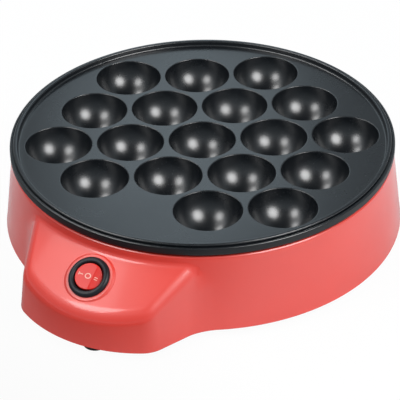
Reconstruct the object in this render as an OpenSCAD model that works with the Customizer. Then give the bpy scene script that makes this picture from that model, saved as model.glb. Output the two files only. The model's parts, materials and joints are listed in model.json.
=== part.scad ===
// Electric ball-pancake maker: a round housing with a control box at the front (-Y),
// a cast plate with half-round cups, and the heater, shield, wiring and switch inside.
// Millimetres. The origin is on the table, under the middle of the whole footprint.

/* [Cooking plate] */
// Distance between neighbouring cups
cup_pitch = 40; // [39:0.5:44]
// Mouth diameter of a cup
cup_d = 37; // [35:0.5:38]
// Depth of a cup below the deck
cup_depth = 17.5; // [15:0.5:18]
// Wall of a cup
cup_wall = 2.5; // [2:0.1:3]
// Broken edge round the mouth of a cup
mouth_break = 0.5; // [0.3:0.1:0.8]
// Turn of the cup pattern from the line of the control box
grid_turn = 2; // [-5:0.5:5]
// Thickness of the deck between the cups
deck_t = 3; // [2.5:0.1:4]
// Width from the outermost cups to the edge of the rim
rim_w = 8.5; // [8.3:0.1:12]
// Depth of the rim's underside below the deck
rim_drop = 1.2; // [0.8:0.1:2]
// Width of the step outside the lip
flange_w = 2; // [1.5:0.1:3]
// Height of that step above the deck
flange_h = 2; // [1:0.1:2.4]
// Width of the raised lip
lip_w = 2.4; // [2:0.1:2.8]
// Height of the lip above the deck
lip_h = 3.3; // [2.8:0.1:3.6]
// Rounding of the lip's and the rim's edges
rim_round = 0.6; // [0.3:0.1:0.8]
// Radius of the hollow corner between the deck and the lip
rim_fillet = 3.4; // [3:0.1:3.4]
// Thickness of the skirt under the rim
skirt_t = 1.5; // [1.2:0.1:2]
// Depth of the skirt below the deck
skirt_h = 6; // [5:0.5:8]

/* [Housing] */
// Height of the round wall
wall_h = 44; // [42:0.5:50]
// Wall thickness of the mouldings
wall_t = 2.5; // [2:0.1:3]
// How much wider the wall is at the bottom, in radius
body_flare = 5.4; // [4:0.1:8]
// Overhang of the plate's rim past the housing's top edge
rim_overhang = 0.7; // [0.3:0.1:2]
// Open gap between the housing and the rim
rim_gap = 2.5; // [2:0.1:4]
// Rounding of the housing's top edge
top_round = 1.2; // [0.6:0.1:1.5]
// Clearance between the plate's skirt and the housing's opening
skirt_gap = 0.8; // [0.5:0.1:1.2]

/* [Control box] */
// Reach of the box's front from the plate's axis
box_reach = 139; // [136:0.5:146]
// Width of the box where it leaves the round wall
box_mouth_w = 108; // [102:1:114]
// Angle of the box's sides from straight ahead
box_flare = 23.7; // [20:0.1:27]
// Radius of the curved front in plan
box_front_r = 75; // [70:1:90]
// Radius of the front corners in plan
box_corner_r = 16; // [12:0.5:20]
// Draft of the box's walls
box_draft = 6.5; // [4:0.5:8]
// Slope of the box's top, which falls away from the plate's axis
box_slope = 33; // [30:0.5:36]
// Where that slope starts below the housing's top edge
box_drop = 4.7; // [3.5:0.1:6]
// Rounding of the box's upper edges
box_edge_r = 4; // [3.5:0.5:5]
// Radius of the hollow corner between the box and the round wall
junction_r = 4; // [3:0.5:8]

/* [Base and feet] */
// How far the housing's bottom edge stands above the table
foot_h = 4.7; // [3:0.1:8]
// Recess of the base cover above that edge
cover_in = 2.5; // [2.3:0.1:4]
// Thickness of the base cover
cover_t = 2.5; // [2:0.1:3]
// Clearance round the base cover
cover_gap = 0.6; // [0.4:0.1:1]
// Diameter of a foot
foot_d = 13.6; // [11:0.1:14]
// Radius of the circle that carries the feet under the round body
foot_circle = 92; // [86:1:94]
// Place of the foot under the control box, beside the middle and in from the front
front_foot = [7.2, 10.6]; // [0:0.1:15]
// Diameter of a post that carries the heat shield
post_d = 10; // [9:0.5:12]
// Radius of the circle of these posts
post_circle = 70; // [66:1:76]
// Number of vents in the base
vents = 12; // [8:1:16]
// Width of a vent
vent_w = 3; // [2:0.5:4]
// Length of a vent
vent_l = 17; // [12:1:20]
// Radius of the circle of vents
vent_circle = 33; // [31:1:40]

/* [Heater] */
// Diameter of the heating tube
tube_d = 6.5; // [6:0.1:7]
// Gap between the heating tube and the cups
tube_gap = 0.2; // [0.1:0.05:0.3]
// Distance of each cold leg from the centre line
leg_x = 14; // [13:0.5:16]
// Bend radius where the legs leave the ring
leg_bend = 9; // [8:0.5:11]
// Sheet thickness of the heat shield
shield_t = 0.8; // [0.6:0.1:1]
// Height of the heat shield's floor above the base cover
shield_lift = 12.5; // [12:0.5:14]
// Slope of the heat shield's wall from upright
shield_lean = 27; // [22:1:30]

/* [Screws] */
// Diameter of the metal screws
screw_d = 4; // [3.5:0.5:4]
// Diameter of the screws in plastic
tap_d = 3; // [2.5:0.5:3.5]
// Clearance round a screw in its hole
screw_gap = 0.2; // [0.1:0.05:0.3]

/* [Switch] */
// How far the switch stands in front of the middle of the slope
switch_shift = -2.65; // [-3:0.05:0]
// Diameter of the bezel
bezel_d = 23; // [22:0.5:24]
// Height of the bezel above its pad
bezel_h = 2.2; // [1.8:0.1:2.6]
// Diameter of the switch's barrel
barrel_d = 20; // [19.5:0.5:20.5]
// Depth of the barrel below the pad
barrel_l = 16; // [15:0.5:18]
// Diameter of the rocker
rocker_d = 14.4; // [14:0.1:15]
// Gap round the rocker
rocker_gap = 0.5; // [0.5:0.1:0.8]
// Tilt of the rocker to each side; it rests with its right side pressed in
rocker_throw = 8; // [6:0.5:10]
// Diameter of the flat pad that the bezel sits on
pad_d = 27; // [25:0.5:28]
// Height of that pad above the slope
pad_h = 0.4; // [0.3:0.1:0.8]
// Clearance between the barrel and its hole
barrel_gap = 0.2; // [0.1:0.05:0.3]

/* [Cord gland] */
// Bore for a mains cord
gland_bore = 7.2; // [6:0.1:8]
// Diameter of the gland's neck
gland_neck = 10.4; // [10:0.1:12]
// Diameter of the gland's flanges
gland_flange = 14; // [13:0.5:15]

/* [Hidden] */
$fn = 96;
// Small overlap that makes cuts break through
e = 0.5;
red = [0.86, 0.17, 0.13];
black = [0.06, 0.06, 0.07];
steel = [0.72, 0.73, 0.75];
brass = [0.80, 0.65, 0.30];
ceramic = [0.90, 0.88, 0.82];

// Cup: a ball of radius cup_r whose centre lies cup_up above the deck
cup_r = (cup_d * cup_d / 4 + cup_depth * cup_depth) / (2 * cup_depth);
cup_up = cup_r - cup_depth;
cup_or = cup_r + cup_wall;
// Three rings of a hexagonal pattern, without the cup next to the control box
cup_rows = 2;
cups = [for (i = [-cup_rows : cup_rows], j = [0 : 2 * cup_rows - abs(i)]) if (i != 0 || j != 0)
    [i * cup_pitch * sqrt(3) / 2, (j - cup_rows + abs(i) / 2) * cup_pitch]];
blank_r = cup_rows * cup_pitch;
cup_reach = blank_r + cup_or;

// Plate radii
plate_r = blank_r + cup_d / 2 + rim_w;
lip_or = plate_r - flange_w;
lip_ir = lip_or - lip_w;
skirt_cover = 0.8;
skirt_r = cup_reach + skirt_cover;

// Housing radii and heights
opening_r = skirt_r + skirt_gap;
top_r = plate_r - rim_overhang;
base_r = top_r + body_flare;
edge_z = foot_h;
top_z = edge_z + wall_h;
deck_z = top_z + rim_gap + rim_drop;
cover_z = edge_z + cover_in;
floor_z = cover_z + cover_t;
shield_z = floor_z + shield_lift;
function wall_r(z) = base_r - body_flare * (z - edge_z) / wall_h;

// Control box in plan: front curve, corner and side, on the right half
side_n = [cos(box_flare), -sin(box_flare)];
side_d = [sin(box_flare), cos(box_flare)];
box_side = side_n * [box_mouth_w / 2, -sqrt(base_r * base_r - box_mouth_w * box_mouth_w / 4)];
front_c = [0, box_front_r - box_reach];
corner_m = box_side - box_corner_r - side_n * front_c;
corner_s = sqrt(pow(box_front_r - box_corner_r, 2) - corner_m * corner_m);
corner_c = front_c + corner_m * side_n - corner_s * side_d;
corner_a = atan2(corner_c.y - front_c.y, corner_c.x - front_c.x);
// The box's crown runs back to this radius, inside the round wall
crown_r = top_r - 3;
crown_inset = box_edge_r + wall_h * tan(box_draft);
side_t = sqrt(crown_r * crown_r - pow(box_side - crown_inset, 2));
front_steps = 5;
corner_steps = 4;
crown_steps = 6;
ball_fn = 28;
function polar(c, r, a) = c + r * [cos(a), sin(a)];
function mirrored(p) = [-p.x, p.y];
// Right half of the outline as [place, outward normal] pairs, drawn in by an inset
function half_outline(inset) = concat(
    [for (k = [1 : front_steps]) let (a = -90 + (corner_a + 90) * k / front_steps)
        [polar(front_c, box_front_r - inset, a), polar([0, 0], 1, a)]],
    [for (k = [1 : corner_steps]) let (a = corner_a + (-box_flare - corner_a) * k / corner_steps)
        [polar(corner_c, box_corner_r - inset, a), polar([0, 0], 1, a)]],
    [[(box_side - inset) * side_n - side_t * side_d, side_n]]);
function outline_points(inset) = let (half = half_outline(inset), n = len(half)) concat(
    [for (k = [n - 1 : -1 : 0]) mirrored(half[k][0])],
    [polar(front_c, box_front_r - inset, -90)],
    [for (k = [0 : n - 1]) half[k][0]]);
// The slope of the box's top, a cone about the plate's axis
function slope_z(r) = top_z - box_drop - (r - top_r) * tan(box_slope);
// Centres of the balls that round the upper edges, found by a few passes
function crown_xy(p, m, h) = p - m * (box_edge_r + h * sin(box_draft)) / cos(box_draft);
function crown_h(p, m, h, passes) = passes == 0 ? h
    : crown_h(p, m, slope_z(norm(crown_xy(p, m, h))) - box_edge_r / cos(box_slope) - edge_z, passes - 1);
function crown_ball(p, m) = let (h = crown_h(p, m, wall_h / 2, 4), q = crown_xy(p, m, h))
    [q.x, q.y, edge_z + h];

// Switch: its pad's centre, and the place of its moving pieces below the pad
switch_y = (top_r + box_reach) / 2 + switch_shift;
pad_z = slope_z(switch_y) + pad_h * cos(box_slope);
pad_y = switch_y + pad_h * sin(box_slope);
rocker_bore = rocker_d / 2 + rocker_gap;
pivot_z = 0.5;
pin_d = 2;
pin_gap = 0.05;
pin_l = 1.4;
pin_end = 0.1;
rocker_low = 2.5;
rocker_in = 0.4;
rocker_side = 1.3;
rocker_top = 2.4;
rocker_flat = 2.4;
rocker_rise = 5;
stem_d = 4.4;
stem_z = -6.8;
plunger_d = 2.4;
plunger_z = -8;
plunger_gap = 0.1;
spring_top = -0.8;
spring_wire = 0.4;
spring_turns = 4;
spring_gap = 0.1;
plunger_head = -5.4;
blade_t = 0.4;
blade_w = 3.6;
blade_l = 13.4;
blade_gap = 0.05;
tip_gap = 0.15;
fulcrum_d = 1;
fulcrum_z = plunger_z - plunger_d / 2 - tip_gap - blade_t - blade_gap - fulcrum_d / 2;
contact_x = 5.5;
contact_d = 2.4;
blade_share = 0.6;
blade_swing = blade_share * rocker_throw;
contact_gap = 0.1;
contact_t = 1.5;
contact_bed = 0.1;
contact_top = fulcrum_z + fulcrum_d / 2 - (contact_x + contact_d / 2) * sin(blade_swing) - contact_gap;
spade_t = 0.8;
spade_w = 4.8;
spade_l = 8;
spade_gap = 0.05;
barrel_floor = 1.6;
round_out = 1.4;
round_in = 0.3;
wing_w = 6;
wing_l = 6;
wing_out = 0.8;
wing_bed = 0.4;
wing_gap = 0.3;
panel_t = wall_t + pad_h;
pad_clear = 0.05;

// Heater: ring midway between two rings of cups, as deep as it takes to lie against them
tube_r = cup_pitch * (1 + sqrt(3)) / 2;
tube_side = cup_pitch * sqrt(3) - tube_r;
tube_z = deck_z + cup_up - sqrt(pow(cup_or + tube_d / 2 + tube_gap, 2) - tube_side * tube_side);
bend_x = leg_x + leg_bend;
bend_y = -sqrt(pow(tube_r + leg_bend, 2) - bend_x * bend_x);
bend_a = atan2(bend_y, bend_x);
tube_steps = 54;
leg_end = -(cup_reach - 1);
stud_d = 3;
stud_l = 7;
collar_d = 4.6;
collar_l = 1.5;
bush_d = 10;
bush_l = 9;
bush_gap = 0.1;

// Heat shield: dish round the cups
shield_under = 3.4;
shield_in = 1.5;
shield_rim = deck_z - skirt_h - shield_under;
shield_top_r = cup_reach - shield_in;
shield_floor_r = shield_top_r - (shield_rim - shield_z) * tan(shield_lean);
function shield_r(z) = shield_top_r - (shield_rim - z) * tan(shield_lean);

// Bosses under the plate, in the hollows between three cups
boss_d = 8;
boss_r = 2 * cup_pitch / sqrt(3);
spacer_d = 9;
spacer_boss = cup_depth - 0.5;
clip_t = 1.2;
clip_w = 9;
clip_lip = 3;
clip_gap = 0.3;
clip_z = tube_z - tube_d / 2;
head_d = 7;
head_h = 2.4;
tap_deep = 10;
clip_screw_l = 9;
plate_screw_in = 8;
shield_screw_l = 9;
bracket_screw_l = 5;

// Thermostat under the blank in the cup pattern
blank = blank_r * [sin(grid_turn), -cos(grid_turn)];
sense_pad = 6;
cap_d = 17;
cap_h = 2.5;
stat_d = 15;
stat_h = 5.5;
stat_gap = 0.1;
bracket_t = 1;
ear_x = 13;
ear_d = 7;
cap_z = deck_z - sense_pad - cap_h;
stat_z = cap_z - stat_h;
tab_x = 4.5;
tab_l = 6.5;
tab_z = stat_z - tab_l;

// Wiring
wire_d = 2.4;
wire_gap = 0.15;
wire_sides = 8;
run_z = floor_z + wire_d;
lead_z = tab_z - wire_d / 2 - wire_gap;
lead_x = 2.2;
lead_bush_d = 8.4;
block_w = 26;
block_l = 16;
block_h = 10;
block_y = 70;
way_x = 8;
way_z = floor_z + block_h / 2;
clamp_d = 5;
fuse_d = 4;
fuse_l = 12;
fuse_y = -20;
fuse_x = way_x;
fuse_lead = 1.2;
fuse_tail = 3;
bend_wire = 6;
// Place past the end of a spade of the switch, seen from the plate's axis
spade_end = barrel_l + spade_l + wire_gap;
function past_spade(x, l) =
    [x, (spade_end + l) * sin(box_slope) - pad_y, pad_z - (spade_end + l) * cos(box_slope)];
// Lengths that shape the leads
lead_in = 4;
lead_out = 8;
lead_down = 14;
lead_dip = 1;
lead_over = 2;
// Both ends of the leads' bush, with room for the leads to bend
bush_y = -shield_r(lead_z);
bush_bend = 2;
bush_near = bush_y + bush_l / 2 + bush_bend + wire_gap;
bush_far = bush_y - bush_l / 2 - bush_bend - wire_gap;
// Undersides of the heater's studs, where two leads end
pin_y = leg_end - stud_l / 2 - lead_dip;
stud_under = tube_z - stud_d / 2 - wire_gap;

// Gland in a notch at the back
gland_lift = 0.3;
gland_z = floor_z + gland_flange / 2 + gland_lift;
gland_gap = 0.2;
gland_lip = 1.6;
gland_sag = 0.3;
gland_in = wall_r(gland_z + gland_neck / 2) - wall_t - gland_gap - gland_sag;
gland_out = wall_r(gland_z - gland_neck / 2) + gland_gap;
back_reach = gland_out + gland_lip;

// Screws that hold the base cover
cover_boss_d = 9;
cover_boss_h = 13;
boss_bed = 0.3;
cover_boss_r = wall_r(floor_z) - wall_t - cover_boss_d / 2 + boss_bed;
cover_boss_angles = [35, 145, 215, 325];
box_boss_in = 20;
box_boss = [30, box_boss_in - box_reach];
cover_screw_l = 11;
foot_stem_d = 5;
foot_stem_gap = 0.1;
foot_round = 1;
foot_taper = 0.4;
barb_out = 0.8;
barb_h = 2;

// The plate's axis stands this far behind the origin
axis_y = (box_reach - back_reach) / 2;

module place() {
    translate([0, axis_y, 0]) children();
}

module on_grid() {
    rotate(grid_turn) children();
}

module at_cups() {
    on_grid() for (c = cups) translate([c.x, c.y, deck_z]) children();
}

// Three places between the cups, from the given angle
module at_bosses(first) {
    on_grid() for (a = [first : 120 : first + 240]) rotate(a) translate([boss_r, 0, 0]) children();
}

module at_posts() {
    for (a = [45 : 90 : 315]) rotate(a) translate([post_circle, 0, 0]) children();
}

module at_ears() {
    translate([blank.x, blank.y, 0]) for (s = [-1, 1]) translate([s * ear_x, 0, 0]) children();
}

module at_legs() {
    for (s = [-1, 1]) translate([s * leg_x, 0, tube_z]) children();
}

module at_cover_screws() {
    for (a = cover_boss_angles) rotate(a) translate([cover_boss_r, 0, 0]) children();
    for (s = [-1, 1]) translate([s * box_boss.x, box_boss.y, 0]) children();
}

module at_feet() {
    for (a = [0, 90, 180]) rotate(a) translate([foot_circle, 0, 0]) children();
    translate([front_foot.x, front_foot.y - box_reach, 0]) children();
}

// Frame of the switch: its pad's middle, with z square to the slope and y up the slope
module on_slope() {
    translate([0, -pad_y, pad_z]) rotate([box_slope, 0, 0]) children();
}

// Piece of the switch turned about an axis along y at the given height
module tilted(z, a) {
    translate([0, 0, z]) rotate([0, a, 0]) translate([0, 0, -z]) children();
}

module along_y(r, y0, y1) {
    translate([0, y0, 0]) rotate([-90, 0, 0]) cylinder(r = r, h = y1 - y0);
}

// Pan-head screw with its shank up along z from the head's seat
module screw(d, l) {
    cylinder(d = d, h = l);
    translate([0, 0, -head_h]) intersection() {
        cylinder(d = head_d, h = head_h);
        translate([0, 0, head_d]) sphere(r = head_d);
    }
}

// Points of a round corner from angle a to angle b about a centre
function corner(c, r, a, b, n) = [for (k = [0 : n]) polar(c, r, a + (b - a) * k / n)];

// Round tube along a path, with its corners rounded first
function unit(v) = v / norm(v);
function softened(p, r) = [for (i = [0 : len(p) - 1]) each (i == 0 || i == len(p) - 1) ? [p[i]] :
    let (a = p[i] + min(r, norm(p[i - 1] - p[i]) / 2.2) * unit(p[i - 1] - p[i]),
        b = p[i] + min(r, norm(p[i + 1] - p[i]) / 2.2) * unit(p[i + 1] - p[i]))
    [for (t = [0 : 0.25 : 1]) (1 - t) * (1 - t) * a + 2 * t * (1 - t) * p[i] + t * t * b]];
function heading(p, i) = unit(p[min(i + 1, len(p) - 1)] - p[max(i - 1, 0)]);
module tube(p, d, side, sides) {
    n = len(p);
    points = [for (i = [0 : n - 1]) let (t = heading(p, i), u = unit(cross(t, side)), v = cross(t, u))
        for (k = [0 : sides - 1]) p[i] + d / 2 * (cos(360 * k / sides) * u + sin(360 * k / sides) * v)];
    walls = [for (i = [0 : n - 2], k = [0 : sides - 1]) let (l = (k + 1) % sides)
        each [[i * sides + k, i * sides + l, (i + 1) * sides + l],
            [i * sides + k, (i + 1) * sides + l, (i + 1) * sides + k]]];
    ends = [[for (k = [sides - 1 : -1 : 0]) k], [for (k = [0 : sides - 1]) (n - 1) * sides + k]];
    polyhedron(points, concat(walls, ends));
}

module lead(p, side, bend) {
    tube(softened(p, bend), wire_d, side, wire_sides);
}

// Round wall of the housing, drawn in by an inset
module round_body(inset, low, high) {
    rotate_extrude()
        polygon([[0, low], [wall_r(low) - inset, low], [wall_r(high) - inset, high], [0, high]]);
}

// Control box, drawn in by an inset
module control_box(inset, low) {
    hull() {
        translate([0, 0, low]) linear_extrude(0.1) polygon(outline_points(inset));
        for (s = half_outline(0)) {
            ball = crown_ball(s[0], s[1]);
            for (x = [-ball.x, ball.x])
                translate([x, ball.y, ball.z]) sphere(r = box_edge_r - inset, $fn = ball_fn);
        }
        for (k = [0 : crown_steps]) {
            span = atan2(side_t, box_side - crown_inset) + box_flare;
            a = -span + (2 * span - 180) * k / crown_steps;
            xy = polar([0, 0], crown_r, a);
            translate([xy.x, xy.y, slope_z(crown_r) - box_edge_r / cos(box_slope)])
                sphere(r = box_edge_r - inset, $fn = ball_fn);
        }
    }
}

// Hollow corner between the box's side and the round wall
module junction() {
    t = -sqrt(pow(base_r + junction_r, 2) - pow(box_side + junction_r, 2));
    c = (box_side + junction_r) * side_n + t * side_d;
    to_axis = atan2(-c.y, -c.x);
    to_side = 180 - box_flare;
    bed = 0.15;
    h = slope_z(norm(c) - junction_r) - box_edge_r / 2 - edge_z;
    arc = corner(c, junction_r + bed, to_axis, to_side, 6);
    deep = polar(c, junction_r + wall_t, (to_axis + to_side) / 2);
    translate([0, 0, edge_z]) linear_extrude(h, scale = wall_r(edge_z + h) / base_r)
        polygon(concat(arc, [deep]));
}

module housing() {
    notch_w = gland_neck + 2 * gland_gap;
    color(red) place() union() {
        difference() {
            union() {
                rotate_extrude() polygon(concat([[0, edge_z], [base_r, edge_z]],
                    corner([top_r - top_round, top_z - top_round], top_round, 0, 90, 4), [[0, top_z]]));
                control_box(0, edge_z);
                junction();
                mirror([1, 0, 0]) junction();
                on_slope() translate([0, 0, -panel_t]) cylinder(d = pad_d, h = panel_t);
            }
            round_body(wall_t, edge_z - 1, top_z - wall_t);
            control_box(wall_t, edge_z - 1);
            translate([0, 0, edge_z]) cylinder(r = opening_r, h = wall_h + e);
            on_slope() translate([0, 0, -panel_t - wall_t])
                cylinder(d = barrel_d + 2 * barrel_gap, h = 3 * wall_t);
            on_slope() translate([0, 0, -panel_t - 2 * wall_t]) cylinder(d = pad_d, h = 2 * wall_t);
            on_slope() translate([0, 0, pad_clear]) cylinder(d = pad_d, h = 2 * wall_t);
            translate([-notch_w / 2, base_r - 4 * wall_t, edge_z - e])
                cube([notch_w, 6 * wall_t, gland_z - edge_z + e]);
            translate([0, 0, gland_z]) along_y(notch_w / 2, base_r - 4 * wall_t, base_r + 2 * wall_t);
        }
        for (a = cover_boss_angles) rotate(a) translate([cover_boss_r, 0, floor_z]) cover_boss(cover_boss_h);
        for (s = [-1, 1]) translate([s * box_boss.x, box_boss.y, floor_z])
            cover_boss(slope_z(norm(box_boss) + cover_boss_d / 2) - floor_z - boss_bed);
    }
}

module cover_boss(h) {
    difference() {
        cylinder(d = cover_boss_d, h = h);
        translate([0, 0, -e]) cylinder(d = tap_d, h = cover_screw_l);
    }
}

module cooking_plate() {
    color(black) place() difference() {
        union() {
            translate([0, 0, deck_z]) rotate_extrude() polygon(concat(
                [[0, 0], [0, -deck_t], [skirt_r - skirt_t, -deck_t], [skirt_r - skirt_t, -skirt_h],
                    [skirt_r, -skirt_h], [skirt_r, -rim_drop], [plate_r - rim_round, -rim_drop]],
                corner([plate_r - rim_round, rim_round - rim_drop], rim_round, -60, 0, 2),
                corner([plate_r - rim_round, flange_h - rim_round], rim_round, 0, 90, 3),
                [[lip_or, flange_h]],
                corner([lip_or - rim_round, lip_h - rim_round], rim_round, 0, 90, 3),
                [[lip_ir + rim_round, lip_h]],
                corner([lip_ir - rim_fillet, rim_fillet], rim_fillet, -15, -90, 8)));
            at_cups() intersection() {
                translate([0, 0, cup_up]) sphere(r = cup_or);
                translate([0, 0, -2 * cup_or - deck_t / 2]) cylinder(r = cup_or + e, h = 2 * cup_or);
            }
            at_bosses(0) translate([0, 0, deck_z - spacer_boss])
                cylinder(d = boss_d, h = spacer_boss - deck_t / 2);
            at_bosses(60) translate([0, 0, clip_z]) cylinder(d = boss_d, h = deck_z - clip_z - deck_t / 2);
            translate([blank.x, blank.y, deck_z - sense_pad])
                cylinder(d = cap_d, h = sense_pad - deck_t / 2);
            at_ears() translate([0, 0, cap_z]) cylinder(d = ear_d, h = deck_z - cap_z - deck_t / 2);
        }
        at_cups() translate([0, 0, cup_up]) sphere(r = cup_r);
        at_cups() translate([0, 0, -mouth_break])
            cylinder(r1 = cup_d / 2, r2 = cup_d / 2 + 2 * mouth_break, h = 2 * mouth_break);
        at_bosses(0) translate([0, 0, deck_z - spacer_boss - e])
            cylinder(d = screw_d - 2 * screw_gap, h = tap_deep);
        at_bosses(60) translate([0, 0, clip_z - e]) cylinder(d = screw_d - 2 * screw_gap, h = tap_deep);
        at_ears() translate([0, 0, cap_z - e]) cylinder(d = tap_d, h = deck_z - cap_z - deck_t / 2);
    }
}

module base_cover() {
    gap = wall_t + cover_gap;
    box_gap = gap + (floor_z - edge_z) * tan(box_draft);
    color(black) place() difference() {
        union() {
            translate([0, 0, cover_z]) linear_extrude(cover_t) {
                circle(r = wall_r(floor_z) - gap);
                polygon(outline_points(box_gap));
            }
            at_posts() translate([0, 0, cover_z]) cylinder(d = post_d, h = shield_z - cover_z);
            gland_tongue(cover_t, 2 * gap);
            gland_tongue(gland_z - gland_neck / 2 - gland_gap - cover_z, wall_t);
        }
        at_posts() translate([0, 0, floor_z]) cylinder(d = tap_d, h = shield_z);
        at_cover_screws() translate([0, 0, cover_z - e])
            cylinder(d = tap_d + 2 * screw_gap, h = cover_t + 2 * e);
        at_feet() translate([0, 0, cover_z - e])
            cylinder(d = foot_stem_d + 2 * foot_stem_gap, h = cover_t + 2 * e);
        for (k = [0 : vents - 1]) rotate(360 * (k + 0.5) / vents) translate([vent_circle, 0, cover_z - e])
            linear_extrude(cover_t + 2 * e) vent();
    }
}

// Slot with round ends
module vent() {
    square([vent_l - vent_w, vent_w], center = true);
    for (s = [-1, 1]) translate([s * (vent_l - vent_w) / 2, 0]) circle(d = vent_w);
}

// Tongue that closes the notch under the gland, as thick as the given inset
module gland_tongue(h, inset) {
    w = gland_neck - 2 * gland_gap;
    intersection() {
        translate([-w / 2, 0, cover_z]) cube([w, 2 * base_r, h]);
        difference() {
            round_body(gland_gap, edge_z, top_z);
            round_body(inset, edge_z - e, top_z + e);
        }
    }
}

module feet() {
    r = foot_d / 2;
    stem_r = foot_stem_d / 2;
    seat_z = floor_z + foot_stem_gap;
    color(black) place() at_feet() rotate_extrude() polygon(concat([[0, 0], [r - foot_round, 0]],
        corner([r - foot_round, foot_round], foot_round, -60, 0, 3), [[r - foot_taper, cover_z],
            [stem_r, cover_z], [stem_r, seat_z], [stem_r + barb_out, seat_z],
            [stem_r / 2, seat_z + barb_h], [0, seat_z + barb_h]]));
}

module base_screws() {
    color(steel) place() at_cover_screws() translate([0, 0, cover_z])
        screw(tap_d - screw_gap, cover_screw_l);
}

module heating_element() {
    sweep = 180 - 2 * bend_a;
    ring = corner([0, 0], tube_r, bend_a, bend_a + sweep, tube_steps);
    elbow = corner([bend_x, bend_y], leg_bend, 180, 180 + bend_a, 5);
    half = concat([[leg_x, leg_end]], [for (k = [0 : 4]) elbow[k]]);
    path = concat(half, ring, [for (k = [len(half) - 1 : -1 : 0]) mirrored(half[k])]);
    color(steel) place() tube([for (p = path) [p.x, p.y, tube_z]], tube_d, [0, 0, 1], 12);
}

module element_pins() {
    color(steel) place() at_legs() {
        along_y(collar_d / 2, leg_end - collar_l, leg_end);
        along_y(stud_d / 2, leg_end - stud_l, leg_end);
    }
}

module element_bushes() {
    y = -shield_r(tube_z);
    color(ceramic) place() at_legs() difference() {
        along_y(bush_d / 2, y - bush_l / 2, y + bush_l / 2);
        along_y(tube_d / 2 + bush_gap, y - bush_l, y + bush_l);
    }
}

module element_clips() {
    out = tube_r + tube_d / 2 + clip_gap - boss_r;
    color(steel) place() at_bosses(60) translate([0, 0, clip_z - clip_t]) difference() {
        union() {
            translate([0, -clip_w / 2, 0]) cube([out + clip_t, clip_w, clip_t]);
            cylinder(d = clip_w, h = clip_t);
            translate([out, -clip_w / 2, 0]) cube([clip_t, clip_w, clip_t + clip_lip]);
        }
        translate([0, 0, -e]) cylinder(d = screw_d + 2 * screw_gap, h = clip_t + 2 * e);
    }
}

module clip_screws() {
    color(steel) place() at_bosses(60) translate([0, 0, clip_z - clip_t])
        screw(screw_d - 3 * screw_gap, clip_screw_l);
}

module heat_shield() {
    color(steel) place() difference() {
        rotate_extrude() polygon([[0, shield_z], [shield_floor_r + shield_t, shield_z],
            [shield_top_r + shield_t, shield_rim - shield_t], [opening_r, shield_rim - shield_t],
            [opening_r, shield_rim], [shield_top_r, shield_rim],
            [shield_floor_r, shield_z + shield_t], [0, shield_z + shield_t]]);
        at_posts() translate([0, 0, shield_z - e]) cylinder(d = tap_d + 2 * screw_gap, h = shield_t + 2 * e);
        at_bosses(0) translate([0, 0, shield_z - e])
            cylinder(d = screw_d + 2 * screw_gap, h = shield_t + 2 * e);
        at_legs() along_y(bush_d / 2 + bush_gap, -2 * blank_r, -blank_r);
        translate([0, 0, lead_z]) along_y(lead_bush_d / 2 + bush_gap, -2 * blank_r, -blank_r);
    }
}

module plate_spacers() {
    low = shield_z + shield_t;
    color(steel) place() at_bosses(0) translate([0, 0, low]) difference() {
        cylinder(d = spacer_d, h = deck_z - spacer_boss - low);
        translate([0, 0, -e]) cylinder(d = screw_d + 2 * screw_gap, h = deck_z);
    }
}

module plate_screws() {
    l = deck_z - spacer_boss - shield_z + plate_screw_in;
    color(steel) place() at_bosses(0) translate([0, 0, shield_z]) screw(screw_d - 3 * screw_gap, l);
}

module shield_screws() {
    color(steel) place() at_posts() translate([0, 0, shield_z + shield_t]) rotate([180, 0, 0])
        screw(tap_d - screw_gap, shield_screw_l);
}

module thermostat() {
    color(ceramic) place() translate([blank.x, blank.y, stat_z]) {
        cylinder(d = stat_d, h = stat_h);
        translate([0, 0, stat_h]) cylinder(d = cap_d, h = cap_h);
    }
}

module thermostat_tabs() {
    color(brass) place() for (s = [-1, 1])
        translate([blank.x + s * tab_x - spade_t / 2, blank.y - spade_w / 2, tab_z])
            cube([spade_t, spade_w, tab_l]);
}

module thermostat_bracket() {
    color(steel) place() translate([0, 0, cap_z - bracket_t]) difference() {
        union() {
            translate([blank.x, blank.y, 0]) cylinder(d = cap_d + 2, h = bracket_t);
            at_ears() cylinder(d = ear_d, h = bracket_t);
            translate([blank.x - ear_x, blank.y - ear_d / 2, 0]) cube([2 * ear_x, ear_d, bracket_t]);
        }
        translate([blank.x, blank.y, -e]) cylinder(d = stat_d + 2 * stat_gap, h = bracket_t + 2 * e);
        at_ears() translate([0, 0, -e]) cylinder(d = tap_d + 2 * screw_gap, h = bracket_t + 2 * e);
    }
}

module bracket_screws() {
    color(steel) place() at_ears() translate([0, 0, cap_z - bracket_t])
        screw(tap_d - screw_gap, bracket_screw_l);
}

module lead_bush() {
    color(ceramic) place() translate([0, 0, lead_z]) difference() {
        along_y(lead_bush_d / 2, bush_y - bush_l / 2, bush_y + bush_l / 2);
        for (s = [-1, 1]) translate([s * lead_x, 0, 0])
            along_y(wire_d / 2 + bush_gap, bush_y - bush_l, bush_y + bush_l);
    }
}

module thermal_fuse() {
    color(ceramic) place() translate([fuse_x, fuse_y, run_z]) {
        along_y(fuse_d / 2, -fuse_l / 2, fuse_l / 2);
        along_y(fuse_lead / 2, -fuse_l / 2 - fuse_tail, fuse_l / 2 + fuse_tail);
    }
}

module terminal_block() {
    color(ceramic) place() translate([-block_w / 2, block_y, floor_z]) difference() {
        cube([block_w, block_l, block_h]);
        for (s = [-1, 1]) translate([block_w / 2 + s * way_x, 0, block_h / 2]) {
            along_y(clamp_d / 2 + wire_gap, -e, block_l + e);
            for (y = [block_l / 4, block_l * 3 / 4]) translate([0, y, 0]) cylinder(d = screw_d, h = block_h);
        }
    }
}

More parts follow.
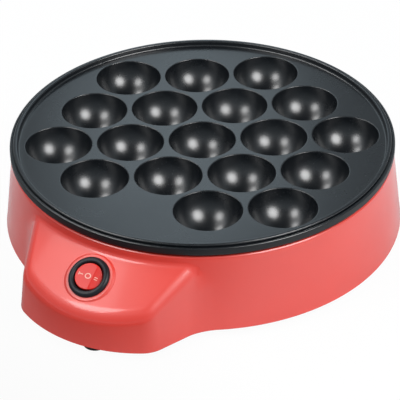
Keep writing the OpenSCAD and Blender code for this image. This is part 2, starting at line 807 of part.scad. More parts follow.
module terminal_clamps() {
    color(brass) place() for (s = [-1, 1]) translate([s * way_x, block_y, way_z]) difference() {
        along_y(clamp_d / 2, e, block_l - e);
        along_y(wire_d / 2 + wire_gap, 0, block_l);
    }
}

module cord_gland() {
    color(black) place() translate([0, 0, gland_z]) difference() {
        union() {
            along_y(gland_neck / 2, gland_in - gland_lip, back_reach);
            along_y(gland_flange / 2, gland_in - gland_lip, gland_in);
            along_y(gland_flange / 2, gland_out, back_reach);
        }
        along_y(gland_bore / 2, gland_in - gland_lip - e, back_reach + e);
    }
}

module switch_body() {
    r = bezel_d / 2;
    seat = -panel_t - wing_gap;
    color(black) place() on_slope() difference() {
        union() {
            rotate_extrude() polygon(concat(
                corner([rocker_bore + round_in, bezel_h - round_in], round_in, 180, 90, 3),
                corner([r - round_out, bezel_h - round_out], round_out, 90, 0, 5),
                [[r, 0], [barrel_d / 2, 0], [barrel_d / 2, -barrel_l], [0, -barrel_l],
                    [0, barrel_floor - barrel_l], [rocker_bore, barrel_floor - barrel_l]]));
            for (s = [0, 180]) rotate(s) translate([barrel_d / 2, wing_w / 2, seat]) rotate([90, 0, 0])
                linear_extrude(wing_w) polygon([[-wing_bed, -wing_l], [wing_out, 0], [-wing_bed, 0]]);
        }
        translate([0, 0, pivot_z]) along_y(pin_d / 2 + pin_gap, -rocker_bore - pin_l, rocker_bore + pin_l);
        for (x = [-contact_x, 0, contact_x])
            translate([x - spade_t / 2 - spade_gap, -spade_w / 2 - spade_gap, -barrel_l - e])
                cube([spade_t + 2 * spade_gap, spade_w + 2 * spade_gap, barrel_floor + 2 * e]);
    }
}

module switch_rocker() {
    r = rocker_d / 2;
    rise = (r - rocker_flat) * tan(rocker_rise);
    pin_reach = rocker_bore + pin_l - pin_end;
    color(red) place() on_slope() tilted(pivot_z, rocker_throw) difference() {
        union() {
            rotate_extrude() polygon([[0, -rocker_low], [r - rocker_in, -rocker_low],
                [r, pivot_z - rocker_side], [r, rocker_top + rise + e], [0, rocker_top + rise + e]]);
            translate([0, 0, stem_z]) cylinder(d = stem_d, h = -stem_z);
            translate([0, 0, pivot_z]) along_y(pin_d / 2, -pin_reach, pin_reach);
        }
        translate([0, r + e, rocker_top]) rotate([90, 0, 0]) linear_extrude(2 * r + 2 * e)
            polygon([[-rocker_flat, 0], [rocker_flat, 0], [r, rise], [r + e, rise], [r + e, 2 * r],
                [-r - e, 2 * r], [-r - e, rise], [-r, rise]]);
        translate([0, 0, stem_z - e]) cylinder(d = plunger_d + 2 * plunger_gap, h = spring_top - stem_z + e);
    }
}

module rocker_spring() {
    wind = plunger_d / 2 - spring_gap - spring_wire / 2;
    low = plunger_head + spring_wire / 2 + spring_gap;
    high = spring_top - spring_wire / 2 - spring_gap;
    steps = 12 * spring_turns;
    path = [for (k = [0 : steps]) [wind * cos(30 * k), wind * sin(30 * k), low + (high - low) * k / steps]];
    color(steel) place() on_slope() tilted(pivot_z, rocker_throw) tube(path, spring_wire, [0, 0, 1], 6);
}

module rocker_plunger() {
    color(brass) place() on_slope() tilted(pivot_z, rocker_throw) {
        translate([0, 0, plunger_z]) cylinder(d = plunger_d, h = plunger_head - plunger_z);
        translate([0, 0, plunger_z]) sphere(d = plunger_d);
    }
}

module contact_blade() {
    color(brass) place() on_slope() tilted(fulcrum_z, -blade_swing)
        translate([-blade_l / 2, -blade_w / 2, fulcrum_z + fulcrum_d / 2 + blade_gap])
            cube([blade_l, blade_w, blade_t]);
}

module switch_terminals() {
    rivet_z = contact_top - contact_t;
    color(brass) place() on_slope() {
        for (x = [-contact_x, 0, contact_x]) translate([x - spade_t / 2, -spade_w / 2, -barrel_l - spade_l])
            cube([spade_t, spade_w, (x == 0 ? fulcrum_z : rivet_z + contact_bed) + barrel_l + spade_l]);
        translate([0, 0, fulcrum_z]) along_y(fulcrum_d / 2, -spade_w / 2, spade_w / 2);
        for (s = [-1, 1]) translate([s * contact_x, 0, rivet_z]) cylinder(d = contact_d, h = contact_t);
    }
}

module lead_live() {
    tip = past_spade(0, 0);
    color([0.45, 0.25, 0.12]) place() lead([[-way_x, block_y + lead_in, way_z],
        [-way_x, block_y - lead_out, way_z], [-way_x, block_y - lead_down, run_z],
        [-way_x, tip.y + lead_down, run_z], past_spade(0, lead_in), tip], [0, 0, 1], bend_wire);
}

module lead_neutral() {
    tail = fuse_l / 2 + fuse_tail + wire_gap;
    color([0.15, 0.25, 0.55]) place() {
        lead([[way_x, block_y + lead_in, way_z], [way_x, block_y - lead_out, way_z],
            [fuse_x, block_y - lead_down, run_z], [fuse_x, fuse_y + tail, run_z]], [0, 0, 1], bend_wire);
        lead([[fuse_x, fuse_y - tail, run_z], [fuse_x, pin_y + 2 * lead_down, run_z],
            [leg_x, pin_y + lead_out, run_z + lead_dip], [leg_x, pin_y, run_z + lead_out],
            [leg_x, pin_y, stud_under]], [1, 0, 0], bend_wire);
    }
}

module lead_switch() {
    out = past_spade(contact_x, lead_in);
    tab = [blank.x + tab_x, blank.y, lead_z];
    color(black) place() lead([past_spade(contact_x, 0), out, [contact_x, bush_far, out.z + lead_dip],
        [lead_x, bush_far, lead_z], [lead_x, bush_near, lead_z], tab, tab + [0, lead_over, 0]],
        [1, 0, 0], bush_bend);
}

module lead_heater() {
    tab = [blank.x - tab_x, blank.y, lead_z];
    color(black) place() lead([tab + [0, lead_over, 0], tab, [-lead_x, bush_near, lead_z],
        [-lead_x, bush_far, lead_z], [-leg_x + lead_in, pin_y, lead_z],
        [-leg_x, pin_y, lead_z + lead_dip], [-leg_x, pin_y, stud_under]], [0, 1, 0.2], bush_bend);
}

housing();
cooking_plate();
base_cover();
feet();
base_screws();
heating_element();
element_pins();
element_bushes();
element_clips();
clip_screws();
heat_shield();
plate_spacers();
plate_screws();
shield_screws();
thermostat();
thermostat_tabs();
thermostat_bracket();
bracket_screws();
lead_bush();
thermal_fuse();
terminal_block();
terminal_clamps();
cord_gland();
switch_body();
switch_rocker();
rocker_spring();
rocker_plunger();
contact_blade();
switch_terminals();
lead_live();
lead_neutral();
lead_switch();
lead_heater();
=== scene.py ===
import json
import math

import bmesh
import bpy
import numpy as np
from mathutils import Matrix, Vector
from mathutils.geometry import delaunay_2d_cdt


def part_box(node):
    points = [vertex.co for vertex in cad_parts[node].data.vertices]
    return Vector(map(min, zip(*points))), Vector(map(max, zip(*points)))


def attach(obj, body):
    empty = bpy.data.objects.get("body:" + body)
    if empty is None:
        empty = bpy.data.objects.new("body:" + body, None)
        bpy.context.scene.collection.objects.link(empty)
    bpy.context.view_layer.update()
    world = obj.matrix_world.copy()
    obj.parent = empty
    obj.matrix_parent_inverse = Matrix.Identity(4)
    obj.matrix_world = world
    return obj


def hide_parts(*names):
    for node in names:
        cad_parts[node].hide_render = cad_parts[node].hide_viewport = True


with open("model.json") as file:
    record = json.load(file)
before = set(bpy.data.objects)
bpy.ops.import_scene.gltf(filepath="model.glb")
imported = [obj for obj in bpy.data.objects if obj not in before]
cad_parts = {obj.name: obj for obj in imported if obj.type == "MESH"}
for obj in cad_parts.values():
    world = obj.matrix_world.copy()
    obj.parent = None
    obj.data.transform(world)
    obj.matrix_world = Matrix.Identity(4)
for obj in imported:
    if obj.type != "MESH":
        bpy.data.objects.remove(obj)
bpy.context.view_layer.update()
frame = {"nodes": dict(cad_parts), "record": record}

scene = bpy.context.scene
MM = 0.001

# Sizes in millimetres, mostly as in the solids. The rim's flank, the rocker and its bore are larger
plate_low, plate_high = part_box("cooking_plate")
AXIS_Y = (plate_low.y + plate_high.y) / 2 / MM
CUP_PITCH = 40
CUP_ROWS = 2
CUP_D = 37
CUP_DEPTH = 17.5
GRID_TURN = math.radians(2)
DECK_T = 3
PLATE_R = 107
LIP_W = 2.4
LIP_H = 3.3
FLANGE_W = 2
FLANGE_H = 2
RIM_DROP = 2.7
SKIRT_R = 101.83
SKIRT_T = 1.5
SKIRT_H = 6
LIP_OUT = PLATE_R - FLANGE_W
LIP_IN = LIP_OUT - LIP_W
DECK_Z = plate_high.z / MM - LIP_H
WALL_H = 44
WALL_T = 2.5
BODY_FLARE = 5.4
TOP_R = 106.3
BASE_R = TOP_R + BODY_FLARE
TOP_ROUND = 1.2
EDGE_Z = 4.7
TOP_Z = EDGE_Z + WALL_H
SKIRT_GAP = 0.8
OPENING_R = SKIRT_R + SKIRT_GAP
BOX_REACH = 139
BOX_MOUTH = 54
BOX_FLARE = math.radians(23.7)
BOX_FRONT_R = 75
BOX_CORNER_R = 16
BOX_DRAFT = math.radians(6.5)
BOX_SLOPE = math.radians(33)
BOX_DROP = 4.7
SWITCH_Y = 120
PAD_D = 27
PAD_H = 0.4
BARREL_R = 10
BARREL_L = 16
BEZEL_R = 11.5
BEZEL_H = 2.2
ROCKER_R = 7.45
ROCKER_BORE = 8.1
ROCKER_TOP = 2.1
ROCKER_FOLD = 2.6
ROCKER_LEFT = math.radians(5.5)
ROCKER_RIGHT = math.radians(18)
ROCKER_REST = math.radians(8)
PIVOT_Z = 0.5
COVER_Z = 7.2
FLOOR_Z = 9.7
GLAND_Z = 17
GLAND_R = 7
GLAND_NECK_R = 5.2
GLAND_BORE_R = 3.6
GLAND_FLANGE = 1.6
FOOT_R = 6.8
FOOT_CIRCLE = 92
VENT_COUNT = 12
VENT_CIRCLE = 33
VENT_HALF = 7.0
VENT_R = 1.5
COLLAR_W = 1.0
COLLAR_H = 0.6
FRONT_FOOT = (7.2, -128.4)
BOX_SCREW = (30, -119)
COVER_SCREW_R = 104.386
COVER_SCREW_ANGLES = (35, 145, 215, 325)

# Distances in metres within which points become one
WELD = 2e-7
CUP_WELD = 3e-6


# Small helpers for node trees
def node(tree, kind, inputs=None, **settings):
    made = tree.nodes.new(kind)
    for key, value in settings.items():
        setattr(made, key, value)
    for key, value in (inputs or {}).items():
        if isinstance(value, bpy.types.NodeSocket):
            tree.links.new(value, made.inputs[key])
        else:
            made.inputs[key].default_value = value
    return made


def calc(tree, operation, a, b=0.0):
    return node(tree, "ShaderNodeMath", {0: a, 1: b}, operation=operation).outputs[0]


def new_group(name, kind, inputs, outputs):
    """New tree, the sockets that it is given and the sockets of its result."""
    tree = bpy.data.node_groups.new(name, kind)
    for label, socket, default in inputs:
        made = tree.interface.new_socket(label, in_out="INPUT", socket_type="NodeSocket" + socket)
        if default is not None:
            made.default_value = default
    for label, socket in outputs:
        tree.interface.new_socket(label, in_out="OUTPUT", socket_type="NodeSocket" + socket)
    return tree, tree.nodes.new("NodeGroupInput").outputs, tree.nodes.new("NodeGroupOutput").inputs


# Shader groups shared by the finishes
def mottle_group():
    """Slow drift of colour and gloss over a surface."""
    tree, given, result = new_group("mottle", "ShaderNodeTree", [
        ("Vector", "Vector", None), ("Scale", "Float", 30.0), ("Colour A", "Color", None),
        ("Colour B", "Color", None), ("Gloss A", "Float", 0.3), ("Gloss B", "Float", 0.4)],
        [("Colour", "Color"), ("Roughness", "Float")])
    noise = node(tree, "ShaderNodeTexNoise", {"Vector": given["Vector"],
        "Scale": given["Scale"], "Detail": 4.0, "Roughness": 0.55})
    spread = node(tree, "ShaderNodeMapRange", {"Value": noise.outputs["Fac"],
        "From Min": 0.3, "From Max": 0.7})
    mixed = node(tree, "ShaderNodeMix", {"Factor": spread.outputs["Result"]}, data_type="RGBA")
    tree.links.new(given["Colour A"], mixed.inputs[6])
    tree.links.new(given["Colour B"], mixed.inputs[7])
    gloss = node(tree, "ShaderNodeMapRange", {"Value": spread.outputs["Result"],
        "To Min": given["Gloss A"], "To Max": given["Gloss B"]})
    tree.links.new(mixed.outputs[2], result["Colour"])
    tree.links.new(gloss.outputs["Result"], result["Roughness"])
    return tree


def grain_group():
    """Fine moulded or cast grain as a height."""
    tree, given, result = new_group("grain", "ShaderNodeTree", [
        ("Vector", "Vector", None), ("Scale", "Float", 900.0), ("Wave Scale", "Float", 60.0),
        ("Wave Share", "Float", 0.5)], [("Height", "Float")])
    fine = node(tree, "ShaderNodeTexNoise", {"Vector": given["Vector"],
        "Scale": given["Scale"], "Detail": 2.0})
    slow = node(tree, "ShaderNodeTexNoise", {"Vector": given["Vector"],
        "Scale": given["Wave Scale"], "Detail": 1.0})
    waves = calc(tree, "MULTIPLY", slow.outputs["Fac"], given["Wave Share"])
    total = calc(tree, "ADD", fine.outputs["Fac"], waves)
    tree.links.new(total, result["Height"])
    return tree


def speckle_group():
    """Scattered pale specks of a baked coating."""
    tree, given, result = new_group("speckle", "ShaderNodeTree", [
        ("Vector", "Vector", None), ("Scale", "Float", 700.0), ("Size", "Float", 0.16),
        ("Base", "Color", None), ("Speck", "Color", None)], [("Colour", "Color")])
    cells = node(tree, "ShaderNodeTexVoronoi", {"Vector": given["Vector"],
        "Scale": given["Scale"]})
    inside = calc(tree, "LESS_THAN", cells.outputs["Distance"], given["Size"])
    some = calc(tree, "GREATER_THAN", node(tree, "ShaderNodeSeparateColor",
        {"Color": cells.outputs["Color"]}).outputs[0], 0.6)
    speck = calc(tree, "MULTIPLY", inside, some)
    mixed = node(tree, "ShaderNodeMix", {"Factor": speck}, data_type="RGBA")
    tree.links.new(given["Base"], mixed.inputs[6])
    tree.links.new(given["Speck"], mixed.inputs[7])
    tree.links.new(mixed.outputs[2], result["Colour"])
    return tree


def drawn_lines_group():
    """Lines left by drawing or brushing metal, along X, as a height."""
    tree, given, result = new_group("drawn_lines", "ShaderNodeTree", [
        ("Vector", "Vector", None), ("Scale", "Float", 200.0)], [("Height", "Float")])
    stretched = node(tree, "ShaderNodeMapping", {"Vector": given["Vector"],
        "Scale": (0.05, 1.0, 1.0)})
    noise = node(tree, "ShaderNodeTexNoise", {"Vector": stretched.outputs[0],
        "Scale": given["Scale"], "Detail": 3.0})
    tree.links.new(noise.outputs["Fac"], result["Height"])
    return tree


BUMP_DEPTH = 0.0002
MOTTLE = mottle_group()
GRAIN = grain_group()
SPECKLE = speckle_group()
LINES = drawn_lines_group()


def finish_of(name, colours, gloss, mottle=30.0, grain=900.0, waves=60.0, share=0.5, bump=0.1,
              speck=None, lines=0.0, **sockets):
    """Principled material whose colour, gloss and bump come from the shared groups."""
    made = bpy.data.materials.new(name)
    made.use_nodes = True
    tree = made.node_tree
    shader = tree.nodes["Principled BSDF"]
    place = node(tree, "ShaderNodeTexCoord").outputs["Object"]
    drift = node(tree, "ShaderNodeGroup", node_tree=MOTTLE)
    for key, value in {"Scale": mottle, "Colour A": (*colours[0], 1), "Colour B": (*colours[1], 1),
                       "Gloss A": gloss[0], "Gloss B": gloss[1]}.items():
        drift.inputs[key].default_value = value
    tree.links.new(place, drift.inputs["Vector"])
    colour = drift.outputs["Colour"]
    if speck:
        specks = node(tree, "ShaderNodeGroup", node_tree=SPECKLE)
        specks.inputs["Speck"].default_value = (*speck, 1)
        tree.links.new(place, specks.inputs["Vector"])
        tree.links.new(colour, specks.inputs["Base"])
        colour = specks.outputs["Colour"]
    tree.links.new(colour, shader.inputs["Base Color"])
    tree.links.new(drift.outputs["Roughness"], shader.inputs["Roughness"])
    texture = node(tree, "ShaderNodeGroup", node_tree=LINES if lines else GRAIN)
    texture.inputs["Scale"].default_value = lines or grain
    if not lines:
        texture.inputs["Wave Scale"].default_value = waves
        texture.inputs["Wave Share"].default_value = share
    tree.links.new(place, texture.inputs["Vector"])
    relief = node(tree, "ShaderNodeBump", {"Strength": bump, "Distance": BUMP_DEPTH,
        "Height": texture.outputs["Height"]})
    tree.links.new(relief.outputs["Normal"], shader.inputs["Normal"])
    for key, value in sockets.items():
        shader.inputs[key.replace("_", " ")].default_value = value
    return made


BLACK_COAT = ((0.003, 0.0042, 0.0058), (0.004, 0.0055, 0.0075))
LOOKS = {
    "red_plastic": dict(
        colours=((0.74, 0.025, 0.008), (0.70, 0.022, 0.007)), gloss=(0.42, 0.50), mottle=18.0,
        grain=1500.0, waves=120.0, share=3.0, bump=0.02, Specular_IOR_Level=1.0, Coat_Weight=0.8,
        Coat_Roughness=0.12),
    "nonstick": dict(
        colours=BLACK_COAT, gloss=(0.26, 0.30), mottle=25.0, grain=1800.0, share=0.4, bump=0.05,
        speck=(0.03, 0.032, 0.036), Specular_IOR_Level=1.0),
    "rim_black": dict(
        colours=BLACK_COAT, gloss=(0.44, 0.52), mottle=25.0, grain=1800.0, share=0.4, bump=0.12,
        Specular_IOR_Level=0.38),
    "black_plastic": dict(
        colours=((0.018, 0.018, 0.019), (0.024, 0.024, 0.025)), gloss=(0.48, 0.6), grain=1100.0,
        bump=0.35),
    "switch_black": dict(
        colours=((0.007, 0.009, 0.012), (0.010, 0.012, 0.016)), gloss=(0.36, 0.43), mottle=80.0,
        grain=2000.0, bump=0.03, Specular_IOR_Level=0.34),
    "switch_red": dict(
        colours=((0.66, 0.022, 0.014), (0.62, 0.018, 0.012)), gloss=(0.25, 0.33), mottle=90.0,
        grain=2000.0, bump=0.03),
    "rubber": dict(
        colours=((0.014, 0.014, 0.014), (0.024, 0.023, 0.022)), gloss=(0.65, 0.8), mottle=70.0,
        grain=1400.0, bump=0.4),
    "steel": dict(
        colours=((0.55, 0.56, 0.57), (0.62, 0.62, 0.63)), gloss=(0.28, 0.42), mottle=60.0, lines=900.0,
        bump=0.15, Metallic=1.0),
    "element_steel": dict(
        colours=((0.20, 0.17, 0.15), (0.34, 0.31, 0.30)), gloss=(0.4, 0.55), mottle=40.0, grain=1200.0,
        bump=0.2, Metallic=1.0),
    "brass": dict(
        colours=((0.70, 0.48, 0.18), (0.60, 0.40, 0.16)), gloss=(0.25, 0.4), mottle=90.0, lines=1200.0,
        bump=0.1, Metallic=1.0),
    "ceramic": dict(
        colours=((0.72, 0.68, 0.60), (0.66, 0.62, 0.54)), gloss=(0.45, 0.6), mottle=120.0, grain=1600.0,
        bump=0.2),
    "lead_brown": dict(colours=((0.12, 0.05, 0.02), (0.16, 0.07, 0.03)), gloss=(0.5, 0.65), bump=0.3),
    "lead_blue": dict(colours=((0.02, 0.05, 0.22), (0.03, 0.07, 0.26)), gloss=(0.5, 0.65), bump=0.3),
    "lead_black": dict(colours=((0.010, 0.011, 0.013), (0.02, 0.02, 0.02)), gloss=(0.5, 0.65), bump=0.3),
    "pale_ink": dict(
        colours=((0.80, 0.46, 0.38), (0.74, 0.40, 0.33)), gloss=(0.5, 0.6), mottle=300.0, grain=2500.0,
        bump=0.1),
}
FINISH = {name: finish_of(name, **look) for name, look in LOOKS.items()}


# Mesh helpers
def polar(r, a):
    return np.array([r * math.cos(a), r * math.sin(a)])


def rounded(corners, steps=6):
    """Profile through (r, z, radius) corners, with an arc at each corner that has a radius."""
    line = []
    count = len(corners)
    for k, (r, z, radius) in enumerate(corners):
        here = np.array([r, z], float)
        if radius == 0 or k in (0, count - 1):
            line.append(here)
            continue
        back = np.array(corners[k - 1][:2], float) - here
        ahead = np.array(corners[k + 1][:2], float) - here
        back /= np.linalg.norm(back)
        ahead /= np.linalg.norm(ahead)
        half = math.acos(max(-1, min(1, float(back @ ahead)))) / 2
        middle = back + ahead
        centre = here + middle / np.linalg.norm(middle) * radius / math.sin(half)
        a = here + back * radius / math.tan(half) - centre
        b = here + ahead * radius / math.tan(half) - centre
        sweep = math.atan2(a[0] * b[1] - a[1] * b[0], float(a @ b))
        start = math.atan2(a[1], a[0])
        line += [centre + polar(radius, start + sweep * i / steps) for i in range(steps + 1)]
    return line


def grid_faces(high, wide):
    """Faces of a grid of points that closes on itself both ways."""
    faces = []
    for a in range(high):
        for b in range(wide):
            up = (a + 1) % high
            right = (b + 1) % wide
            faces.append([a * wide + b, a * wide + right, up * wide + right, up * wide + b])
    return faces


def lathe(profile, count):
    """Points and faces of a profile of (r, z) turned about Z. A point on the axis is one vertex."""
    points, rings, faces = [], [], []
    for r, z in profile:
        if r < 1e-6:
            rings.append([len(points)] * count)
            points.append((0.0, 0.0, z))
        else:
            rings.append(list(range(len(points), len(points) + count)))
            points += [(*polar(r, 2 * math.pi * k / count), z) for k in range(count)]
    for low, high in zip(rings, rings[1:]):
        for k in range(count):
            m = (k + 1) % count
            face = [low[k], low[m], high[m], high[k]]
            faces.append([v for i, v in enumerate(face) if v not in face[:i]])
    return np.array(points), faces


def mesh_of(name, points, faces, turn=None):
    """Closed mesh in metres from points in millimetres, with its faces turned outwards."""
    made = bpy.data.meshes.new(name)
    spots = [tuple(p) for p in np.asarray(points, float) * MM]
    made.from_pydata(spots, [], [list(f) for f in faces])
    if turn is not None:
        made.transform(turn)
    work = bmesh.new()
    work.from_mesh(made)
    bmesh.ops.remove_doubles(work, verts=work.verts, dist=WELD)
    bmesh.ops.recalc_face_normals(work, faces=work.faces)
    work.to_mesh(made)
    work.free()
    return made


def joined(parts):
    """One list of points and faces from several."""
    points, faces, start = [], [], 0
    for p, f in parts:
        points.append(np.asarray(p, float))
        faces += [[v + start for v in face] for face in f]
        start += len(p)
    return np.concatenate(points), faces


def show(name, mesh, finish, body, angle=35.0):
    """Piece from a finished mesh: smooth but for its sharp edges, riding on a body."""
    mesh.materials.clear()
    mesh.materials.append(FINISH[finish])
    mesh.polygons.foreach_set("use_smooth", [True] * len(mesh.polygons))
    mesh.set_sharp_from_angle(angle=math.radians(angle))
    piece = bpy.data.objects.new(name, mesh)
    scene.collection.objects.link(piece)
    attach(piece, body)
    return piece


def cut(mesh, tools, operation="DIFFERENCE"):
    """The mesh after booleans with tool meshes."""
    holder = bpy.data.objects.new("holder", mesh)
    scene.collection.objects.link(holder)
    made = []
    for tool in tools:
        cutter = bpy.data.objects.new("cutter", tool)
        scene.collection.objects.link(cutter)
        step = holder.modifiers.new("cut", "BOOLEAN")
        step.operation = operation
        step.solver = "EXACT"
        step.object = cutter
        made.append(cutter)
    result = baked(holder)
    for thing in [*made, holder]:
        bpy.data.objects.remove(thing)
    return result


def baked(holder):
    """Plain mesh of an object after its modifiers."""
    bpy.context.view_layer.update()
    graph = bpy.context.evaluated_depsgraph_get()
    return bpy.data.meshes.new_from_object(holder.evaluated_get(graph))


def grown(tree, mesh, **values):
    """Plain mesh that a geometry tree makes from a unit mesh."""
    holder = bpy.data.objects.new("holder", mesh)
    scene.collection.objects.link(holder)
    growth = holder.modifiers.new("growth", "NODES")
    growth.node_group = tree
    for item in tree.interface.items_tree:
        if item.in_out == "INPUT" and item.name in values:
            growth[item.identifier] = values[item.name]
    result = baked(holder)
    growth.node_group = None
    bpy.data.objects.remove(holder)
    return result


# Geometry trees
def new_growth(name, inputs):
    """Geometry tree that is given a unit mesh and a finish."""
    given = [("Geometry", "Geometry", None), *inputs, ("Finish", "Material", None)]
    return new_group(name, "GeometryNodeTree", given, [("Geometry", "Geometry")])


def end_tree(tree, given, result, geometry):
    solid = node(tree, "GeometryNodeRealizeInstances", {"Geometry": geometry})
    dressed = node(tree, "GeometryNodeSetMaterial", {"Geometry": solid.outputs[0],
        "Material": given["Finish"]})
    tree.links.new(dressed.outputs[0], result["Geometry"])


def cup_field_tree():
    """The unit cup on a hexagonal pattern, without the one next to the control box."""
    tree, given, result = new_growth("cup_field", [("Pitch", "Float", 0.04), ("Rows", "Int", 2),
        ("Turn", "Vector", None), ("Centre", "Vector", None)])
    pitch = given["Pitch"]
    rows = given["Rows"]
    across = calc(tree, "MULTIPLY_ADD", rows, 2.0)
    across.node.inputs[2].default_value = 1.0
    index = node(tree, "GeometryNodeInputIndex").outputs[0]
    column = calc(tree, "FLOOR", calc(tree, "DIVIDE", index, across))
    i = calc(tree, "SUBTRACT", column, rows)
    j = calc(tree, "SUBTRACT", index, calc(tree, "MULTIPLY", column, across))
    off = calc(tree, "ABSOLUTE", i)
    x = calc(tree, "MULTIPLY", calc(tree, "MULTIPLY", i, pitch), math.sqrt(3) / 2)
    y = calc(tree, "MULTIPLY", calc(tree, "ADD", calc(tree, "SUBTRACT", j, rows),
        calc(tree, "MULTIPLY", off, 0.5)), pitch)
    spots = node(tree, "GeometryNodePoints", {"Count": calc(tree, "MULTIPLY", across, across),
        "Position": node(tree, "ShaderNodeCombineXYZ", {"X": x, "Y": y}).outputs[0]})
    fits = calc(tree, "LESS_THAN", j, calc(tree, "SUBTRACT", across, off))
    kept = calc(tree, "GREATER_THAN", calc(tree, "ADD", off, j), 0.5)
    copies = node(tree, "GeometryNodeInstanceOnPoints", {"Points": spots.outputs[0],
        "Selection": calc(tree, "MULTIPLY", fits, kept), "Instance": given["Geometry"]})
    turned = node(tree, "GeometryNodeTransform", {"Geometry": copies.outputs[0],
        "Rotation": given["Turn"], "Translation": given["Centre"]})
    end_tree(tree, given, result, turned.outputs[0])
    return tree


def on_places_tree():
    """The unit piece on every point of another mesh, each turned by chance about Z."""
    tree, given, result = new_growth("on_places", [("Places", "Object", None), ("Turn", "Float", 0.0),
        ("Seed", "Int", 3)])
    places = node(tree, "GeometryNodeObjectInfo", {"Object": given["Places"]})
    chance = node(tree, "FunctionNodeRandomValue", {"Seed": given["Seed"]}, data_type="FLOAT")
    tree.links.new(given["Turn"], chance.inputs[3])
    turn = node(tree, "ShaderNodeCombineXYZ", {"Z": chance.outputs[1]})
    copies = node(tree, "GeometryNodeInstanceOnPoints", {"Points": places.outputs["Geometry"],
        "Instance": given["Geometry"], "Rotation": turn.outputs[0]})
    end_tree(tree, given, result, copies.outputs[0])
    return tree


def round_row_tree():
    """The unit piece several times round an upright axis."""
    tree, given, result = new_growth("round_row", [("Count", "Int", 12), ("Radius", "Float", 0.033),
        ("Centre", "Vector", None)])
    index = node(tree, "GeometryNodeInputIndex").outputs[0]
    share = calc(tree, "DIVIDE", calc(tree, "ADD", index, 0.5), given["Count"])
    angle = calc(tree, "MULTIPLY", share, 2 * math.pi)
    x = calc(tree, "MULTIPLY", calc(tree, "COSINE", angle), given["Radius"])
    y = calc(tree, "MULTIPLY", calc(tree, "SINE", angle), given["Radius"])
    spots = node(tree, "GeometryNodePoints", {"Count": given["Count"],
        "Position": node(tree, "ShaderNodeCombineXYZ", {"X": x, "Y": y}).outputs[0]})
    copies = node(tree, "GeometryNodeInstanceOnPoints", {"Points": spots.outputs[0],
        "Instance": given["Geometry"],
        "Rotation": node(tree, "ShaderNodeCombineXYZ", {"Z": angle}).outputs[0]})
    moved = node(tree, "GeometryNodeTransform", {"Geometry": copies.outputs[0],
        "Translation": given["Centre"]})
    end_tree(tree, given, result, moved.outputs[0])
    return tree


def on_places(mesh, places, finish, turn=0.0):
    marks = bpy.data.meshes.new("places")
    marks.from_pydata([tuple(p) for p in np.asarray(places, float) * MM], [], [])
    holder = bpy.data.objects.new("places", marks)
    scene.collection.objects.link(holder)
    result = grown(ON_PLACES, mesh, Places=holder, Turn=turn, Finish=FINISH[finish])
    bpy.data.objects.remove(holder)
    return result


CUP_FIELD = cup_field_tree()
ON_PLACES = on_places_tree()
ROUND_ROW = round_row_tree()
AXIS = Matrix.Translation((0, AXIS_Y * MM, 0))
DECK_MIDDLE = Vector((0, AXIS_Y * MM, DECK_Z * MM))


# Housing: its outer form as a field that is below zero inside, in millimetres about the plate's axis
FRONT_C = np.array([0.0, BOX_FRONT_R - BOX_REACH])
SIDE_N = np.array([math.cos(BOX_FLARE), -math.sin(BOX_FLARE)])
SIDE_D = np.array([math.sin(BOX_FLARE), math.cos(BOX_FLARE)])
BOX_SIDE = float(SIDE_N @ np.array([BOX_MOUTH, -math.sqrt(BASE_R ** 2 - BOX_MOUTH ** 2)]))
CORNER_M = BOX_SIDE - BOX_CORNER_R - float(SIDE_N @ FRONT_C)
CORNER_S = math.sqrt((BOX_FRONT_R - BOX_CORNER_R) ** 2 - CORNER_M ** 2)
CORNER_C = FRONT_C + CORNER_M * SIDE_N - CORNER_S * SIDE_D
CORNER_A = math.atan2(CORNER_C[1] - FRONT_C[1], CORNER_C[0] - FRONT_C[0])
WALL_COS = math.cos(math.atan(BODY_FLARE / WALL_H))
EDGE_SOFT = 4.2
JUNCTION_R = 5.0
JUNCTION_TOP = 1.2
JUNCTION_FADE = 12.0

# Steps of the walk from inside the housing's form to its surface
RAY_STEPS = 160
RAY_BACK = -0.5
RAY_AHEAD = 3.0
RAY_SHARE = 0.8

# Stations round the plan, and where rays start: depths from the outline, heights and radii
FRONT_STEPS = 48
CORNER_STEPS = 24
SIDE_STEPS = 16
HOLLOW_STEPS = 18
WALL_STEPS = 96
BOX_RAY_DEPTH = 14
WALL_RAY_DEPTH = 10
EDGE_RAY_DEPTH = EDGE_SOFT + 4
CROWN_IN = 3
CROWN_GAP = 1
SLOPE_RAY_DEPTH = 7
WALL_ROW_TOP = 41.4
SLOPE_END_R = 108.6
OWN_SHARE = 0.35
HUB_R = 103.8
HUB_Z = 42.0

# Angles of the rays over the wall's top in degrees, closer together where the slope meets the wall
TOP_LIFTS = (15, 18, 20, 22, 23.5, 25, 26.5, 28, 30, 33, 37, 42, 48, 54, 59, 63, 67, 71, 75, 79, 83, 86)
TOP_FLAT_R = 103.7
INNER_TOP_R = ((103.2, 103.0), (104.5, 103.3), (106.0, 103.6))
INNER_START_Z = 36.0
LOWER_BREAK = 0.5
UP = [0.0, 0.0, 1.0]

# Raised pad round the switch, holes and screw bosses
PAD_SPREAD = 0.75
PAD_ROOT = -2.4
PAD_FOOT = -0.70
PAD_INSET = 0.6
PAD_ROUND = 1.2
HOLE_GAP = 0.2
HOLE_SPAN = (-9, 3)
NOTCH_SPAN = (BASE_R - 12, BASE_R + 6)
BOSS_R = 4.5
BOSS_BORE_R = 1.5
BOSS_H = 13


def slope_z(r):
    return TOP_Z - BOX_DROP - (r - TOP_R) * math.tan(BOX_SLOPE)


def round_and(a, b, radius):
    """What two fields share, with a rounded edge."""
    past = np.hypot(np.maximum(a + radius, 0), np.maximum(b + radius, 0))
    return np.minimum(np.maximum(a, b), -radius) + past


